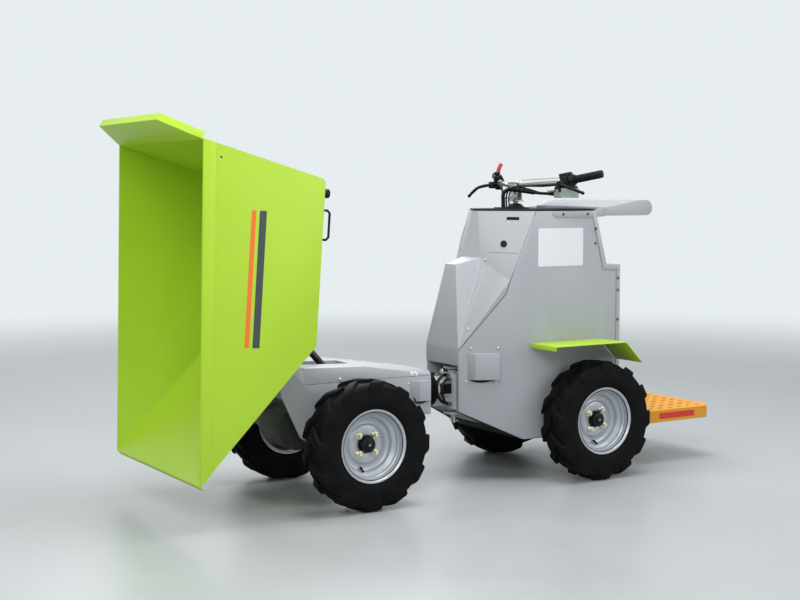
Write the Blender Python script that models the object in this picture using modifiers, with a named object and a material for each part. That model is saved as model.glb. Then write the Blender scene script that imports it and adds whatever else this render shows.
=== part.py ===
# Articulated four-wheel site dumper with a forward-tipping skip and a handlebar console.
# Metres. Built about the ground point under the rear axle: +X forward, +Y left, +Z up.
# The last step moves the whole machine so that its box stands centred on the origin.
import math

import bmesh
import bpy
from mathutils import Matrix, Vector

# Clearances and working values shared by every piece
GAP = 0.0003            # between touching pieces
SEAT = 0.002            # how far welded pieces run into each other
OVERRUN = 0.02          # how far a cutter runs past what it cuts
FINE = 24               # sides of a large round piece
COARSE = 12             # sides of a small round piece
MERGE = 0.00001

# Stance
WHEELBASE = 1.144
PIVOT_X = 0.497         # steering pivot, ahead of the rear axle
WHEEL_Y = 0.3585        # middle of a tyre

# Wheel: 10 inch rim, bar-lug tyre
TYRE_RADIUS = 0.256
TYRE_WIDTH = 0.142
TYRE_CARCASS = 0.240    # radius between the lugs
TYRE_BEAD = 0.131
LUG_PITCHES = 12        # lugs on each side
LUG_SHARE = 0.36        # of a pitch that one lug takes
LUG_SWEEP = 16.0        # degrees that a lug trails from shoulder to centre
RIM_FLANGE = 0.144
RIM_WIDTH = 0.122
RIM_WELL = 0.108
RIM_WALL = 0.005
DISC_SET = 0.012        # disc plane inboard of the wheel's middle, towards the axle
DISC_THICK = 0.008
HUB_RADIUS = 0.032
HUB_FLANGE = 0.066
HUB_REACH = 0.040       # hub cap beyond the disc
BOLT_CIRCLE = 0.050
BOLT_RADIUS = 0.007

# Rear body, side view
BODY_HALF = 0.25
BODY_REAR_X = -0.212
BODY_FLOOR = 0.178
BODY_SHOULDER_X = -0.135
BODY_SHOULDER_Z = 0.908
BODY_TOP_REAR_X = -0.070
BODY_TOP = 1.150
TAPER_X = 0.293         # where the side walls start to close in
BODY_FRONT_X = 0.556
BODY_FRONT_HALF = 0.126
BODY_FRONT_LOW = 0.300
BODY_FRONT_HIGH = 0.567
SEAM_TOP_X = 0.249
SEAM_MID_X = 0.357
SEAM_MID_Z = 0.861
SEAM_KNEE_X = 0.375
SEAM_KNEE_Z = 0.800
BELLY_X = 0.305
SHEET = 0.004
FLANGE = 0.016          # folded edge of a cover

# Hinge channel in the front of the rear body
CHANNEL_HALF = 0.112
CHANNEL_X = 0.425
CHANNEL_TOP = 0.497
LUG_TOP_Z = 0.472
LUG_LOW_Z = 0.284
LUG_THICK = 0.010
LUG_HALF = 0.046
LUG_BACK = 0.030        # how far a lug runs behind the pivot, before the channel's end
PIN_RADIUS = 0.012
PIN_HEAD = 0.018
PIN_HEAD_THICK = 0.008
PIN_TAIL = 0.040
CROSS_HALF = 0.030
CROSS_RADIUS = 0.004

# Cowl and nose
COWL_TOP_X = 0.390
COWL_TOP_HALF = 0.023
COWL_LOW_X = 0.407
COWL_LOW_HALF = 0.069
COWL_LOW_Z = 0.950
NOSE_TOP_X = 0.516
NOSE_TOP_HALF = 0.040
NOSE_TOP_Z = 0.922
NOSE_LOW_X = 0.5595
NOSE_LOW_HALF = 0.124
NOSE_LOW_Z = 0.572

# Deck and shelf
DECK_THICK = 0.008
DECK_LIP = 0.003
SHELF_FRONT_X = 0.030
SHELF_FRONT_HALF = 0.030
SHELF_SIDE_X = -0.129    # side corners of its front edge
SHELF_SIDE_Z = 1.165
SHELF_TOP = 1.196
SHELF_REAR_X = -0.398
SHELF_LOW = 1.128
SHELF_HALF = 0.2535
SHELF_NOSE_Z = 1.172
SHELF_CREST_X = -0.015

# Vent covers on the tapered walls
VENT_LENGTH = 0.136
VENT_HEIGHT = 0.112
VENT_DEPTH = 0.026
VENT_SLOPE_SHARE = 1.2  # run of the sloping end, of the depth
VENT_REAR_Z = 0.494
VENT_ALONG = 0.186      # middle of a rear vent along the tapered wall

# Fenders
FENDER_TOP = 0.590
FENDER_FRONT_X = 0.275
FENDER_REAR_X = -0.105
FENDER_TAIL = 0.092
FENDER_OUT = 0.430
FENDER_SHEET = 0.003
FENDER_NIB = 0.020

# Rear step
STEP_TOP = 0.245
STEP_REAR_X = -0.775
STEP_FRONT_X = -0.335
STEP_HALF = 0.275
STEP_CHAMFER = 0.045
STEP_RIM = 0.033         # plain border of the tread
STEP_SKIRT = 0.055
STEP_SHEET = 0.004
STEP_HOLE = 0.013
STEP_HOLE_PITCH = 0.057
STEP_BAR = 0.020
STEP_BAR_Y = 0.140

# Axles
AXLE_RADIUS = 0.030
BRAKE_RADIUS = 0.072
BRAKE_THICK = 0.018
GEARBOX_RADIUS = 0.088
GEARBOX_HALF = 0.085
GEARBOX_X = 0.156       # gearbox middle ahead of the front axle
GEARBOX_LIFT = 0.035
AXLE_CASE_HALF = 0.060
AXLE_CASE_RADIUS = 0.070

# Knuckle and roll bearing
TUBE_RADIUS = 0.027
KNUCKLE_CLEAR = 0.006
WEB_THICK = 0.010
WEB_HALF = 0.026
YOKE_HALF = 0.060       # cross plate ahead of the sleeve
ROLL_Z = 0.388
ROLL_DISC = 0.055
ROLL_DISC_X = 0.603
ROLL_DISC_THICK = 0.012
ROLL_CLEAR = 0.004
ROLL_BOSS = 0.048
ROLL_SHAFT = 0.022

# Front frame
FRAME_HALF = 0.200
FRAME_REAR_X = 0.690
FRAME_REAR_HALF = 0.100
FRAME_CORNER_X = 0.745
FRAME_TOP = 0.480
FRAME_FLOOR = 0.318
FRAME_WALL = 0.006
PLATE_PROUD = 0.001     # by which lapping plates miss each other's faces
TRAY_BACK = 0.084       # tray's front wall behind the front axle
TRAY_FRONT_X = WHEELBASE - TRAY_BACK
HUMP_BACK = 0.094
HUMP_REAR_X = WHEELBASE - HUMP_BACK
HUMP_TOP = 0.545
HUMP_REAR_TOP = 0.535
HUMP_AHEAD = 0.186
HUMP_FRONT_X = WHEELBASE + HUMP_AHEAD
HUMP_SET = 0.012        # hump's upper edge inboard of the frame's side
HUMP_SLOT_HALF = 0.062
NOSE_PLATE_AHEAD = 0.290
NOSE_PLATE_X = WHEELBASE + NOSE_PLATE_AHEAD
NOSE_PLATE_Z = 0.450
NOSE_PLATE_LOW_AHEAD = 0.206
NOSE_PLATE_LOW_X = WHEELBASE + NOSE_PLATE_LOW_AHEAD
NOSE_PLATE_LOW_Z = 0.275
TIE_LOW = 0.400
TIE_HIGH = 0.452
AXLE_PLATE_LOW_Z = 0.205
AXLE_PLATE_HALF = 0.110
COVER_SHEET = 0.005
FRAME_VENT_X = 0.802
FRAME_VENT_Z = 0.421
FRAME_VENT_SIZE = 0.084

# Skip, drawn as it lies when lowered, about its hinge pin
TIP_AHEAD = 0.281       # hinge pin ahead of the front axle
TIP_X = WHEELBASE + TIP_AHEAD
TIP_Z = 0.590
TIP_ANGLE = 86.0
TIP_PIN = 0.0105
TIP_TUBE = 0.0195
TIP_TUBE_HALF = 0.180
BASE_DROP = 0.025       # base's outer face under the pin
BASE_FRONT = 0.070      # base's front corner behind the pin
BASE_LENGTH = 0.622
REAR_LEAN = 0.109
REAR_RISE = 0.498
POUR_REACH = 0.445
POUR_RISE = 0.440       # pour edge over the base
SKIP_HALF = 0.420
SKIP_WALL = 0.004
SKIP_CORNER = 0.018
RIM_BAND = 0.045
RIM_PROUD = 0.006
LIP_LEAN = 0.061
LIP_RISE = 0.129
LIP_HALF = 0.300
LIP_FOLD = 0.024
POUR_FOLD = 0.022

# Tipping cylinder, from the frame to the skip's spine
CYL_BACK = 0.244        # lower pin behind the front axle
CYL_X = WHEELBASE - CYL_BACK
CYL_Z = 0.260
SPINE_BACK = 0.150      # cylinder pin behind the skip's hinge pin, lowered
SPINE_DROP = 0.055      # cylinder pin under the base
SPINE_Y = 0.034
SPINE_THICK = 0.008
SPINE_EYE = 0.020
OUTER_RIB_Y = 0.150
RIB_RUN = 0.120
BARREL_RADIUS = 0.028
BARREL_LENGTH = 0.300
BARREL_CAP = 0.020
ROD_RADIUS = 0.015
EYE_RADIUS = 0.017
EYE_HALF = 0.022
CROSS_PIN = 0.010

# Grab handle and buffer on the skip's base
HANDLE_INSET = 0.030
HANDLE_Y = SKIP_HALF - HANDLE_INSET
HANDLE_BACK = 0.508     # front foot, behind the base's front corner
HANDLE_SPAN = 0.110
HANDLE_STAND = 0.040
HANDLE_RADIUS = 0.005
BUFFER_BACK = 0.571
BUFFER_RADIUS = 0.018
BUFFER_TALL = 0.030

# Handlebar
STEM_X = 0.172
STEM_BASE = 0.045
STEM_BASE_TALL = 0.022
STEM_PLATE_FRONT = 0.257
STEM_PLATE_REAR = 0.127
STEM_PLATE_THICK = 0.006
STEM_RADIUS = 0.012
STEM_TOP = 1.248
BAR_RADIUS = 0.011
BAR_Z = 1.262
CLAMP_SIZE = 0.030
BAR_STRAIGHT = 0.110
BAR_HIP_Y = 0.217
BAR_HIP_X = 0.099
BAR_HIP_Z = 1.271
BAR_END_Y = 0.380
BAR_END_X = 0.010
BAR_END_Z = 1.306
GRIP_RADIUS = 0.0165
GRIP_SHARE = 0.62       # grip's share of the swept end of the bar
PERCH_SHARE = 0.16      # lever perch along the swept end
PERCH_RADIUS = 0.019
PERCH_HALF = 0.016
LEVER_SIDES = 8
LEVER_RADIUS = 0.0055
LEVER_AHEAD = 0.040      # lever pivot ahead of the bar
LEVER_DROP = 0.012
BOX_LENGTH = 0.090
BOX_WIDTH = 0.060
BOX_TALL = 0.042
BOX_Y = 0.235
BOX_X = 0.075
BOX_TOP = 1.248
THUMB_TALL = 0.050
THUMB_THICK = 0.010
THUMB_WIDE = 0.016

# Cable loom, from the deck up to the bar: forward, left, and above the deck
LOOM_RADIUS = 0.0065
LOOM_POINTS = 24
LOOM_ROUTE = (
    (0.232, -0.010, 0.007), (0.232, -0.010, 0.031), (0.231, -0.010, 0.066), (0.210, 0.005, 0.085),
    (0.185, 0.050, 0.079), (0.150, 0.105, 0.070), (0.130, 0.160, 0.066), (0.120, 0.2043, 0.068),
)

# Levers: side, and from the pivot how far the middle and the tip of the blade lie forward, outward and up
LEVERS = (
    ("left", 1, (-0.010, 0.040, -0.010), (-0.065, 0.085, -0.038)),
    ("right", -1, (0.045, 0.050, -0.014), (0.062, 0.098, -0.052)),
)

# Colours: red, green, blue, roughness, metallic
FINISHES = {
    "body grey": (0.42, 0.44, 0.47, 0.35, 0.2),
    "lime": (0.47, 0.72, 0.04, 0.3, 0.0),
    "tyre": (0.02, 0.02, 0.02, 0.8, 0.0),
    "rim": (0.5, 0.52, 0.55, 0.35, 0.6),
    "black": (0.02, 0.02, 0.022, 0.5, 0.0),
    "zinc": (0.6, 0.62, 0.62, 0.3, 0.9),
    "casting": (0.12, 0.13, 0.14, 0.5, 0.3),
    "yellow": (1.0, 0.42, 0.01, 0.45, 0.0),
    "red": (0.7, 0.03, 0.03, 0.4, 0.0),
}

# Joints: name, place of the axis and the joint that carries it
JOINT_PLACES = {
    "root": (0, 0, 0),
    "steer": (PIVOT_X, 0, ROLL_Z),
    "roll": (ROLL_DISC_X, 0, ROLL_Z),
    "tip": (TIP_X, 0, TIP_Z),
    "cylinder": (CYL_X, 0, CYL_Z),
    "rod": (CYL_X, 0, CYL_Z),
    "bar": (STEM_X, 0, BAR_Z),
}
JOINT_PARENTS = {
    "root": None, "steer": "root", "roll": "steer", "tip": "roll",
    "cylinder": "roll", "rod": "cylinder", "bar": "root",
}

LUG_TURN = 2 * math.pi / LUG_PITCHES
AXLE_Z = TYRE_RADIUS * math.cos(LUG_TURN * LUG_SHARE / 2)

parts = None
empties = {}
finishes = {}


def start():
    global parts
    for old in list(bpy.data.objects):
        bpy.data.objects.remove(old, do_unlink=True)
    parts = bpy.data.collections.new("site_dumper")
    bpy.context.scene.collection.children.link(parts)
    for name, (red, green, blue, roughness, metallic) in FINISHES.items():
        finish = bpy.data.materials.new(name)
        finish.use_nodes = True
        shader = finish.node_tree.nodes["Principled BSDF"]
        shader.inputs["Base Color"].default_value = (red, green, blue, 1)
        shader.inputs["Roughness"].default_value = roughness
        shader.inputs["Metallic"].default_value = metallic
        finishes[name] = finish
    for name, parent in JOINT_PARENTS.items():
        empty = bpy.data.objects.new("axis_" + name, None)
        parts.objects.link(empty)
        empties[name] = empty
        empty.location = JOINT_PLACES[name]
        if parent:
            empty.parent = empties[parent]
            empty.location = Vector(JOINT_PLACES[name]) - Vector(JOINT_PLACES[parent])
    empties["tip"].rotation_euler = (0, math.radians(TIP_ANGLE), 0)


# Making shapes. Every mesh is drawn in the machine's own frame, or about the pin for the skip.

def loose(mesh):
    thing = bpy.data.objects.new("loose", mesh)
    parts.objects.link(thing)
    return thing


def drop(thing):
    bpy.data.objects.remove(thing, do_unlink=True)


def evaluated(thing):
    bpy.context.view_layer.update()
    depsgraph = bpy.context.evaluated_depsgraph_get()
    return bpy.data.meshes.new_from_object(thing.evaluated_get(depsgraph))


def tidied(mesh):
    work = bmesh.new()
    work.from_mesh(mesh)
    bmesh.ops.remove_doubles(work, verts=work.verts, dist=MERGE)
    bmesh.ops.recalc_face_normals(work, faces=work.faces)
    work.to_mesh(mesh)
    work.free()
    return mesh


def baked(thing):
    # The evaluated shape as a plain mesh with its place in its points
    mesh = evaluated(thing)
    mesh.transform(thing.matrix_world)
    drop(thing)
    return loose(tidied(mesh))


def moved(thing, matrix):
    thing.data.transform(matrix)
    tidied(thing.data)
    return thing


def block(low, high):
    work = bmesh.new()
    bmesh.ops.create_cube(work, size=1)
    size = [b - a for a, b in zip(low, high)]
    middle = [(a + b) / 2 for a, b in zip(low, high)]
    bmesh.ops.scale(work, vec=size, verts=work.verts)
    bmesh.ops.translate(work, vec=middle, verts=work.verts)
    mesh = bpy.data.meshes.new("block")
    work.to_mesh(mesh)
    work.free()
    return loose(mesh)


def rod(start_at, end_at, radius, end_radius=None, sides=COARSE):
    a = Vector(start_at)
    b = Vector(end_at)
    work = bmesh.new()
    bmesh.ops.create_cone(work, cap_ends=True, segments=sides, radius1=radius,
                          radius2=radius if end_radius is None else end_radius, depth=(b - a).length)
    turn = Vector((0, 0, 1)).rotation_difference(b - a).to_matrix().to_4x4()
    bmesh.ops.transform(work, matrix=Matrix.Translation((a + b) / 2) @ turn, verts=work.verts)
    mesh = bpy.data.meshes.new("rod")
    work.to_mesh(mesh)
    work.free()
    return loose(mesh)


PLANES = {
    "X": Matrix(((0, 0, 1, 0), (1, 0, 0, 0), (0, 1, 0, 0), (0, 0, 0, 1))),   # outline in Y, Z
    "Y": Matrix(((1, 0, 0, 0), (0, 0, -1, 0), (0, 1, 0, 0), (0, 0, 0, 1))),  # outline in X, Z
    "Z": Matrix.Identity(4),                                                # outline in X, Y
}


def plate(outlines, plane, low, high):
    # A flat outline, with holes where more outlines follow, between two levels across its plane
    curve = bpy.data.curves.new("plate", "CURVE")
    curve.dimensions = "2D"
    curve.fill_mode = "BOTH"
    curve.extrude = (high - low) / 2
    for outline in outlines:
        spline = curve.splines.new("POLY")
        spline.points.add(len(outline) - 1)
        for point, place in zip(spline.points, outline):
            point.co = (place[0], place[1], 0, 1)
        spline.use_cyclic_u = True
    level = (low + high) / 2
    thing = loose(curve)
    thing.matrix_world = PLANES[plane] @ Matrix.Translation((0, 0, -level if plane == "Y" else level))
    return baked(thing)


def turned(profile, middle, axis, sides=FINE):
    # A closed or axis-to-axis profile of (radius, along) turned about an axis through the middle
    work = bmesh.new()
    points = [work.verts.new((radius, 0, along)) for radius, along in profile]
    pairs = list(zip(points, points[1:]))
    if profile[0][0] > 0:
        pairs.append((points[-1], points[0]))
    for a, b in pairs:
        work.edges.new((a, b))
    mesh = bpy.data.meshes.new("profile")
    work.to_mesh(mesh)
    work.free()
    thing = loose(mesh)
    screw = thing.modifiers.new("turn", "SCREW")
    screw.steps = sides
    screw.render_steps = sides
    screw.use_merge_vertices = True
    screw.merge_threshold = MERGE
    thing.matrix_world = Matrix.Translation(middle) @ \
        Vector((0, 0, 1)).rotation_difference(Vector(axis)).to_matrix().to_4x4()
    return baked(thing)


def tube(points, radius, resolution=2):
    curve = bpy.data.curves.new("tube", "CURVE")
    curve.dimensions = "3D"
    curve.bevel_depth = radius
    curve.bevel_resolution = resolution
    curve.use_fill_caps = True
    spline = curve.splines.new("POLY")
    spline.points.add(len(points) - 1)
    for point, place in zip(spline.points, points):
        point.co = (*place, 1)
    return baked(loose(curve))


def hull(points):
    work = bmesh.new()
    for point in points:
        work.verts.new(point)
    made = bmesh.ops.convex_hull(work, input=work.verts)
    spare = {item for item in made["geom_interior"] if isinstance(item, bmesh.types.BMVert)}
    bmesh.ops.delete(work, geom=list(spare), context="VERTS")
    bmesh.ops.dissolve_limit(work, angle_limit=math.radians(0.5), verts=work.verts, edges=work.edges)
    mesh = bpy.data.meshes.new("hull")
    work.to_mesh(mesh)
    work.free()
    return loose(tidied(mesh))


def both_sides(points):
    return [(x, side * y, z) for x, y, z in points for side in (-1, 1)]


def combine(base, others, operation):
    for other in others:
        change = base.modifiers.new(operation, "BOOLEAN")
        change.operation = operation
        change.solver = "EXACT"
        change.object = other
    result = baked(base)
    for other in others:
        drop(other)
    return result


def fused(base, *others):
    return combine(base, others, "UNION")


def cut(base, *others):
    return combine(base, others, "DIFFERENCE")


def common(base, *others):
    return combine(base, others, "INTERSECT")


def mirrored(thing):
    # A copy on the other side of the machine
    mesh = thing.data.copy()
    mesh.transform(Matrix.Scale(-1, 4, (0, 1, 0)))
    mesh.flip_normals()
    return loose(mesh)


def finish(thing, name, joint, material, smooth=None):
    # Names a piece, gives it its material and hangs it on its joint's empty
    thing.name = name
    thing.data.name = name
    thing.data.materials.clear()
    thing.data.materials.append(finishes[material])
    thing.parent = empties[joint]
    if joint != "tip":
        thing.location = -Vector(JOINT_PLACES[joint])
    if smooth:
        thing.data.shade_smooth()
        thing.data.set_sharp_from_angle(angle=math.radians(smooth))
    return thing


# Outlines

def inset(outline, depth):
    # Each side of an anticlockwise outline moved inwards; a negative depth moves it outwards
    count = len(outline)
    lines = []
    for i in range(count):
        a = Vector(outline[i])
        b = Vector(outline[(i + 1) % count])
        along = (b - a).normalized()
        lines.append((a + Vector((-along.y, along.x)) * depth, along))
    points = []
    for i in range(count):
        a, u = lines[i - 1]
        b, v = lines[i]
        across = u.x * v.y - u.y * v.x
        reach = ((b - a).x * v.y - (b - a).y * v.x) / across
        points.append(tuple(a + u * reach))
    return points


def rounded(outline, corner, radius, steps=4):
    # One corner of an outline replaced by an arc
    a = Vector(outline[corner - 1])
    b = Vector(outline[corner])
    c = Vector(outline[(corner + 1) % len(outline)])
    u = (a - b).normalized()
    v = (c - b).normalized()
    half = u.angle(v) / 2
    centre = b + (u + v).normalized() * radius / math.sin(half)
    first = b + u * radius / math.tan(half) - centre
    last = b + v * radius / math.tan(half) - centre
    sweep = first.angle_signed(last)
    arc = []
    for i in range(steps + 1):
        turn = -sweep * i / steps
        arc.append((centre.x + first.x * math.cos(turn) - first.y * math.sin(turn),
                    centre.y + first.x * math.sin(turn) + first.y * math.cos(turn)))
    return outline[:corner] + arc + outline[corner + 1:]


def bore_for(pin, sides=COARSE):
    # Radius of a many-sided bore in which a many-sided pin of this radius can turn
    return (pin + GAP) / math.cos(math.pi / sides)


def circle(x, y, radius, sides=COARSE):
    return [(x + radius * math.cos(2 * math.pi * i / sides), y + radius * math.sin(2 * math.pi * i / sides))
            for i in range(sides)]


# Rear body and what it carries

def body_outline():
    return [
        (BODY_REAR_X, BODY_FLOOR), (BELLY_X, BODY_FLOOR), (BODY_FRONT_X, BODY_FRONT_LOW),
        (BODY_FRONT_X, BODY_FRONT_HIGH), (SEAM_KNEE_X, SEAM_KNEE_Z), (SEAM_MID_X, SEAM_MID_Z),
        (SEAM_TOP_X, BODY_TOP), (BODY_TOP_REAR_X, BODY_TOP), (BODY_SHOULDER_X, BODY_SHOULDER_Z),
        (BODY_REAR_X, BODY_SHOULDER_Z),
    ]


def body_plan():
    return [
        (BODY_REAR_X, -BODY_HALF), (TAPER_X, -BODY_HALF), (BODY_FRONT_X, -BODY_FRONT_HALF),
        (BODY_FRONT_X, BODY_FRONT_HALF), (TAPER_X, BODY_HALF), (BODY_REAR_X, BODY_HALF),
    ]


def taper_half(x):
    # Half width of the body at a place along the tapered walls
    share = (x - TAPER_X) / (BODY_FRONT_X - TAPER_X)
    return BODY_HALF + (BODY_FRONT_HALF - BODY_HALF) * max(share, 0)


def make_rear_body():
    shell = plate([body_outline()], "Y", -BODY_HALF - OVERRUN, BODY_HALF + OVERRUN)
    plan = plate([body_plan()], "Z", BODY_FLOOR - OVERRUN, BODY_TOP + OVERRUN)
    shell = common(shell, plan)
    channel = block((CHANNEL_X, -CHANNEL_HALF, BODY_FLOOR - OVERRUN),
                    (BODY_FRONT_X + OVERRUN, CHANNEL_HALF, CHANNEL_TOP))
    bore = rod((0, -BODY_HALF - OVERRUN, AXLE_Z), (0, BODY_HALF + OVERRUN, AXLE_Z), AXLE_RADIUS + GAP)
    shell = cut(shell, channel, bore)
    finish(shell, "rear_body", "root", "body grey")


def make_cowl():
    back = SEAM_TOP_X - OVERRUN
    upper = hull(both_sides([
        (SEAM_TOP_X, BODY_HALF, BODY_TOP), (back, BODY_HALF, BODY_TOP),
        (COWL_TOP_X, COWL_TOP_HALF, BODY_TOP), (COWL_LOW_X, COWL_LOW_HALF, COWL_LOW_Z),
        (SEAM_MID_X, taper_half(SEAM_MID_X), SEAM_MID_Z), (back, taper_half(SEAM_MID_X), SEAM_MID_Z),
        (SEAM_KNEE_X, taper_half(SEAM_KNEE_X), SEAM_KNEE_Z), (back, taper_half(SEAM_KNEE_X), SEAM_KNEE_Z),
    ]))
    cheek = hull(both_sides([
        (COWL_LOW_X, COWL_LOW_HALF, COWL_LOW_Z), (back, COWL_LOW_HALF, COWL_LOW_Z),
        (SEAM_MID_X, taper_half(SEAM_MID_X), SEAM_MID_Z), (back, taper_half(SEAM_MID_X), SEAM_MID_Z),
        (SEAM_KNEE_X, taper_half(SEAM_KNEE_X), SEAM_KNEE_Z), (back, taper_half(SEAM_KNEE_X), SEAM_KNEE_Z),
        (BODY_FRONT_X, BODY_FRONT_HALF, BODY_FRONT_HIGH), (back, BODY_FRONT_HALF, BODY_FRONT_HIGH),
    ]))
    nose = hull(both_sides([
        (COWL_LOW_X, COWL_LOW_HALF, COWL_LOW_Z), (back, COWL_LOW_HALF, COWL_LOW_Z),
        (NOSE_TOP_X, NOSE_TOP_HALF, NOSE_TOP_Z), (NOSE_LOW_X, NOSE_LOW_HALF, NOSE_LOW_Z),
        (NOSE_LOW_X, NOSE_LOW_HALF, BODY_FRONT_HIGH),
        (BODY_FRONT_X, BODY_FRONT_HALF - PLATE_PROUD, BODY_FRONT_HIGH),
        (back, BODY_FRONT_HALF - PLATE_PROUD, BODY_FRONT_HIGH),
    ]))
    skirt = block((BODY_FRONT_X + GAP, -NOSE_LOW_HALF, CHANNEL_TOP),
                  (NOSE_LOW_X, NOSE_LOW_HALF, BODY_FRONT_HIGH + SEAT))
    cowl = fused(upper, cheek, nose, skirt)
    seat = plate([inset(body_outline(), -GAP)], "Y", -BODY_HALF - OVERRUN, BODY_HALF + OVERRUN)
    finish(cut(cowl, seat), "cowl", "root", "body grey")


def make_rear_cover():
    # Folded cover over the rear faces, with flanges on both side walls
    rear = [(BODY_REAR_X, BODY_FLOOR), (BODY_REAR_X, BODY_SHOULDER_Z), (BODY_SHOULDER_X, BODY_SHOULDER_Z),
            (BODY_TOP_REAR_X, BODY_TOP)]
    run_in = [(BODY_TOP_REAR_X + FLANGE, BODY_TOP), (BODY_SHOULDER_X + FLANGE, BODY_SHOULDER_Z - FLANGE),
              (BODY_REAR_X + FLANGE, BODY_SHOULDER_Z - FLANGE), (BODY_REAR_X + FLANGE, BODY_FLOOR)]
    outline = (rear + run_in)[::-1]
    outer = inset(outline, 0)
    shift = SHEET + GAP
    outer[4] = (BODY_TOP_REAR_X - shift, BODY_TOP)
    outer[5] = (BODY_SHOULDER_X - shift, BODY_SHOULDER_Z + shift)
    outer[6] = (BODY_REAR_X - shift, BODY_SHOULDER_Z + shift)
    outer[7] = (BODY_REAR_X - shift, BODY_FLOOR)
    cover = plate([outer], "Y", -BODY_HALF - SHEET, BODY_HALF + SHEET)
    room = block((BODY_REAR_X - GAP, -BODY_HALF - GAP, BODY_FLOOR - OVERRUN),
                 (BODY_TOP_REAR_X + OVERRUN, BODY_HALF + GAP, BODY_SHOULDER_Z + GAP))
    slope = plate([[(BODY_SHOULDER_X - GAP, BODY_SHOULDER_Z - OVERRUN),
                    (BODY_TOP_REAR_X + FLANGE + OVERRUN, BODY_SHOULDER_Z - OVERRUN),
                    (BODY_TOP_REAR_X + FLANGE + OVERRUN, BODY_TOP + OVERRUN),
                    (BODY_TOP_REAR_X - GAP, BODY_TOP + OVERRUN), (BODY_TOP_REAR_X - GAP, BODY_TOP),
                    (BODY_SHOULDER_X - GAP, BODY_SHOULDER_Z)]], "Y", -BODY_HALF - GAP, BODY_HALF + GAP)
    finish(cut(cover, room, slope), "rear_cover", "root", "body grey")


def make_deck():
    outline = [
        (BODY_TOP_REAR_X, -BODY_HALF), (SEAM_TOP_X, -BODY_HALF), (COWL_TOP_X, -COWL_TOP_HALF),
        (COWL_TOP_X, COWL_TOP_HALF), (SEAM_TOP_X, BODY_HALF), (BODY_TOP_REAR_X, BODY_HALF),
    ]
    low = BODY_TOP + GAP
    finish(plate([inset(outline, DECK_LIP)], "Z", low, low + DECK_THICK), "deck", "root", "black")


def make_shelf():
    # Hood over the back of the deck: crested top, rolled rear edge, open underneath where it overhangs
    deck_top = BODY_TOP + DECK_THICK + 2 * GAP
    roll = (SHELF_TOP - SHELF_LOW) / 2
    back = BODY_TOP_REAR_X - OVERRUN
    end = [(SHELF_REAR_X, SHELF_TOP), (SHELF_REAR_X, SHELF_LOW), (SHELF_REAR_X + 2 * roll, SHELF_LOW),
           (SHELF_REAR_X + 2 * roll, SHELF_TOP)]
    end = rounded(rounded(end, 1, roll - SHEET, steps=5), 0, roll, steps=5)
    hood = hull(both_sides([(x, SHELF_HALF, z) for x, z in end] + [
        (SHELF_SIDE_X, SHELF_HALF, SHELF_LOW), (SHELF_SIDE_X, SHELF_HALF, SHELF_SIDE_Z),
        (SHELF_FRONT_X, SHELF_FRONT_HALF, SHELF_LOW), (SHELF_FRONT_X, SHELF_FRONT_HALF, SHELF_NOSE_Z),
        (SHELF_CREST_X, SHELF_FRONT_HALF, SHELF_TOP)]))
    body_room = block((back, -SHELF_HALF - OVERRUN, SHELF_LOW - OVERRUN),
                      (SHELF_FRONT_X + OVERRUN, SHELF_HALF + OVERRUN, deck_top))
    ceiling = SHELF_SIDE_Z - 2 * SHEET
    room = [(SHELF_REAR_X + 2 * SHEET, ceiling), (SHELF_REAR_X + 2 * SHEET, SHELF_LOW + roll / 2),
            (SHELF_REAR_X + roll, SHELF_LOW - OVERRUN), (back - SHEET, SHELF_LOW - OVERRUN),
            (back - SHEET, ceiling)]
    pocket = plate([room], "Y", SHEET - SHELF_HALF, SHELF_HALF - SHEET)
    finish(cut(hood, body_room, pocket), "shelf", "root", "body grey")


def vent_cover(name, joint, middle, outward, length, height, depth):
    # A folded box, open underneath, standing on a wall
    along = Vector((0, 0, 1)).cross(Vector(outward)).normalized()
    frame = Matrix((
        (along.x, outward[0], 0, middle[0]), (along.y, outward[1], 0, middle[1]),
        (0, 0, 1, middle[2]), (0, 0, 0, 1)))
    # The end towards the front slopes back to the wall
    ahead = math.copysign(1, along.x)
    slope = depth * VENT_SLOPE_SHARE
    box = plate([[(-ahead * length / 2, GAP), (ahead * length / 2, GAP),
                  (ahead * (length / 2 - slope), depth), (-ahead * length / 2, depth)]],
                "Z", -height / 2, height / 2)
    inner = length / 2 - SHEET
    room = plate([[(-ahead * inner, SHEET), (ahead * (inner - SHEET), SHEET),
                   (ahead * (inner - slope), depth - SHEET), (-ahead * inner, depth - SHEET)]],
                 "Z", -height / 2 - OVERRUN, height / 2 - SHEET)
    finish(moved(cut(box, room), frame), name, joint, "body grey")


def make_rear_vents():
    run = Vector((BODY_FRONT_X - TAPER_X, BODY_FRONT_HALF - BODY_HALF))
    along = run.normalized()
    spot = Vector((TAPER_X, BODY_HALF)) + along * VENT_ALONG
    for side, name in ((1, "vent_cover_left"), (-1, "vent_cover_right")):
        outward = (-along.y, side * along.x, 0)
        vent_cover(name, "root", (spot.x, side * spot.y, VENT_REAR_Z), outward,
                   VENT_LENGTH, VENT_HEIGHT, VENT_DEPTH)


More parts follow.
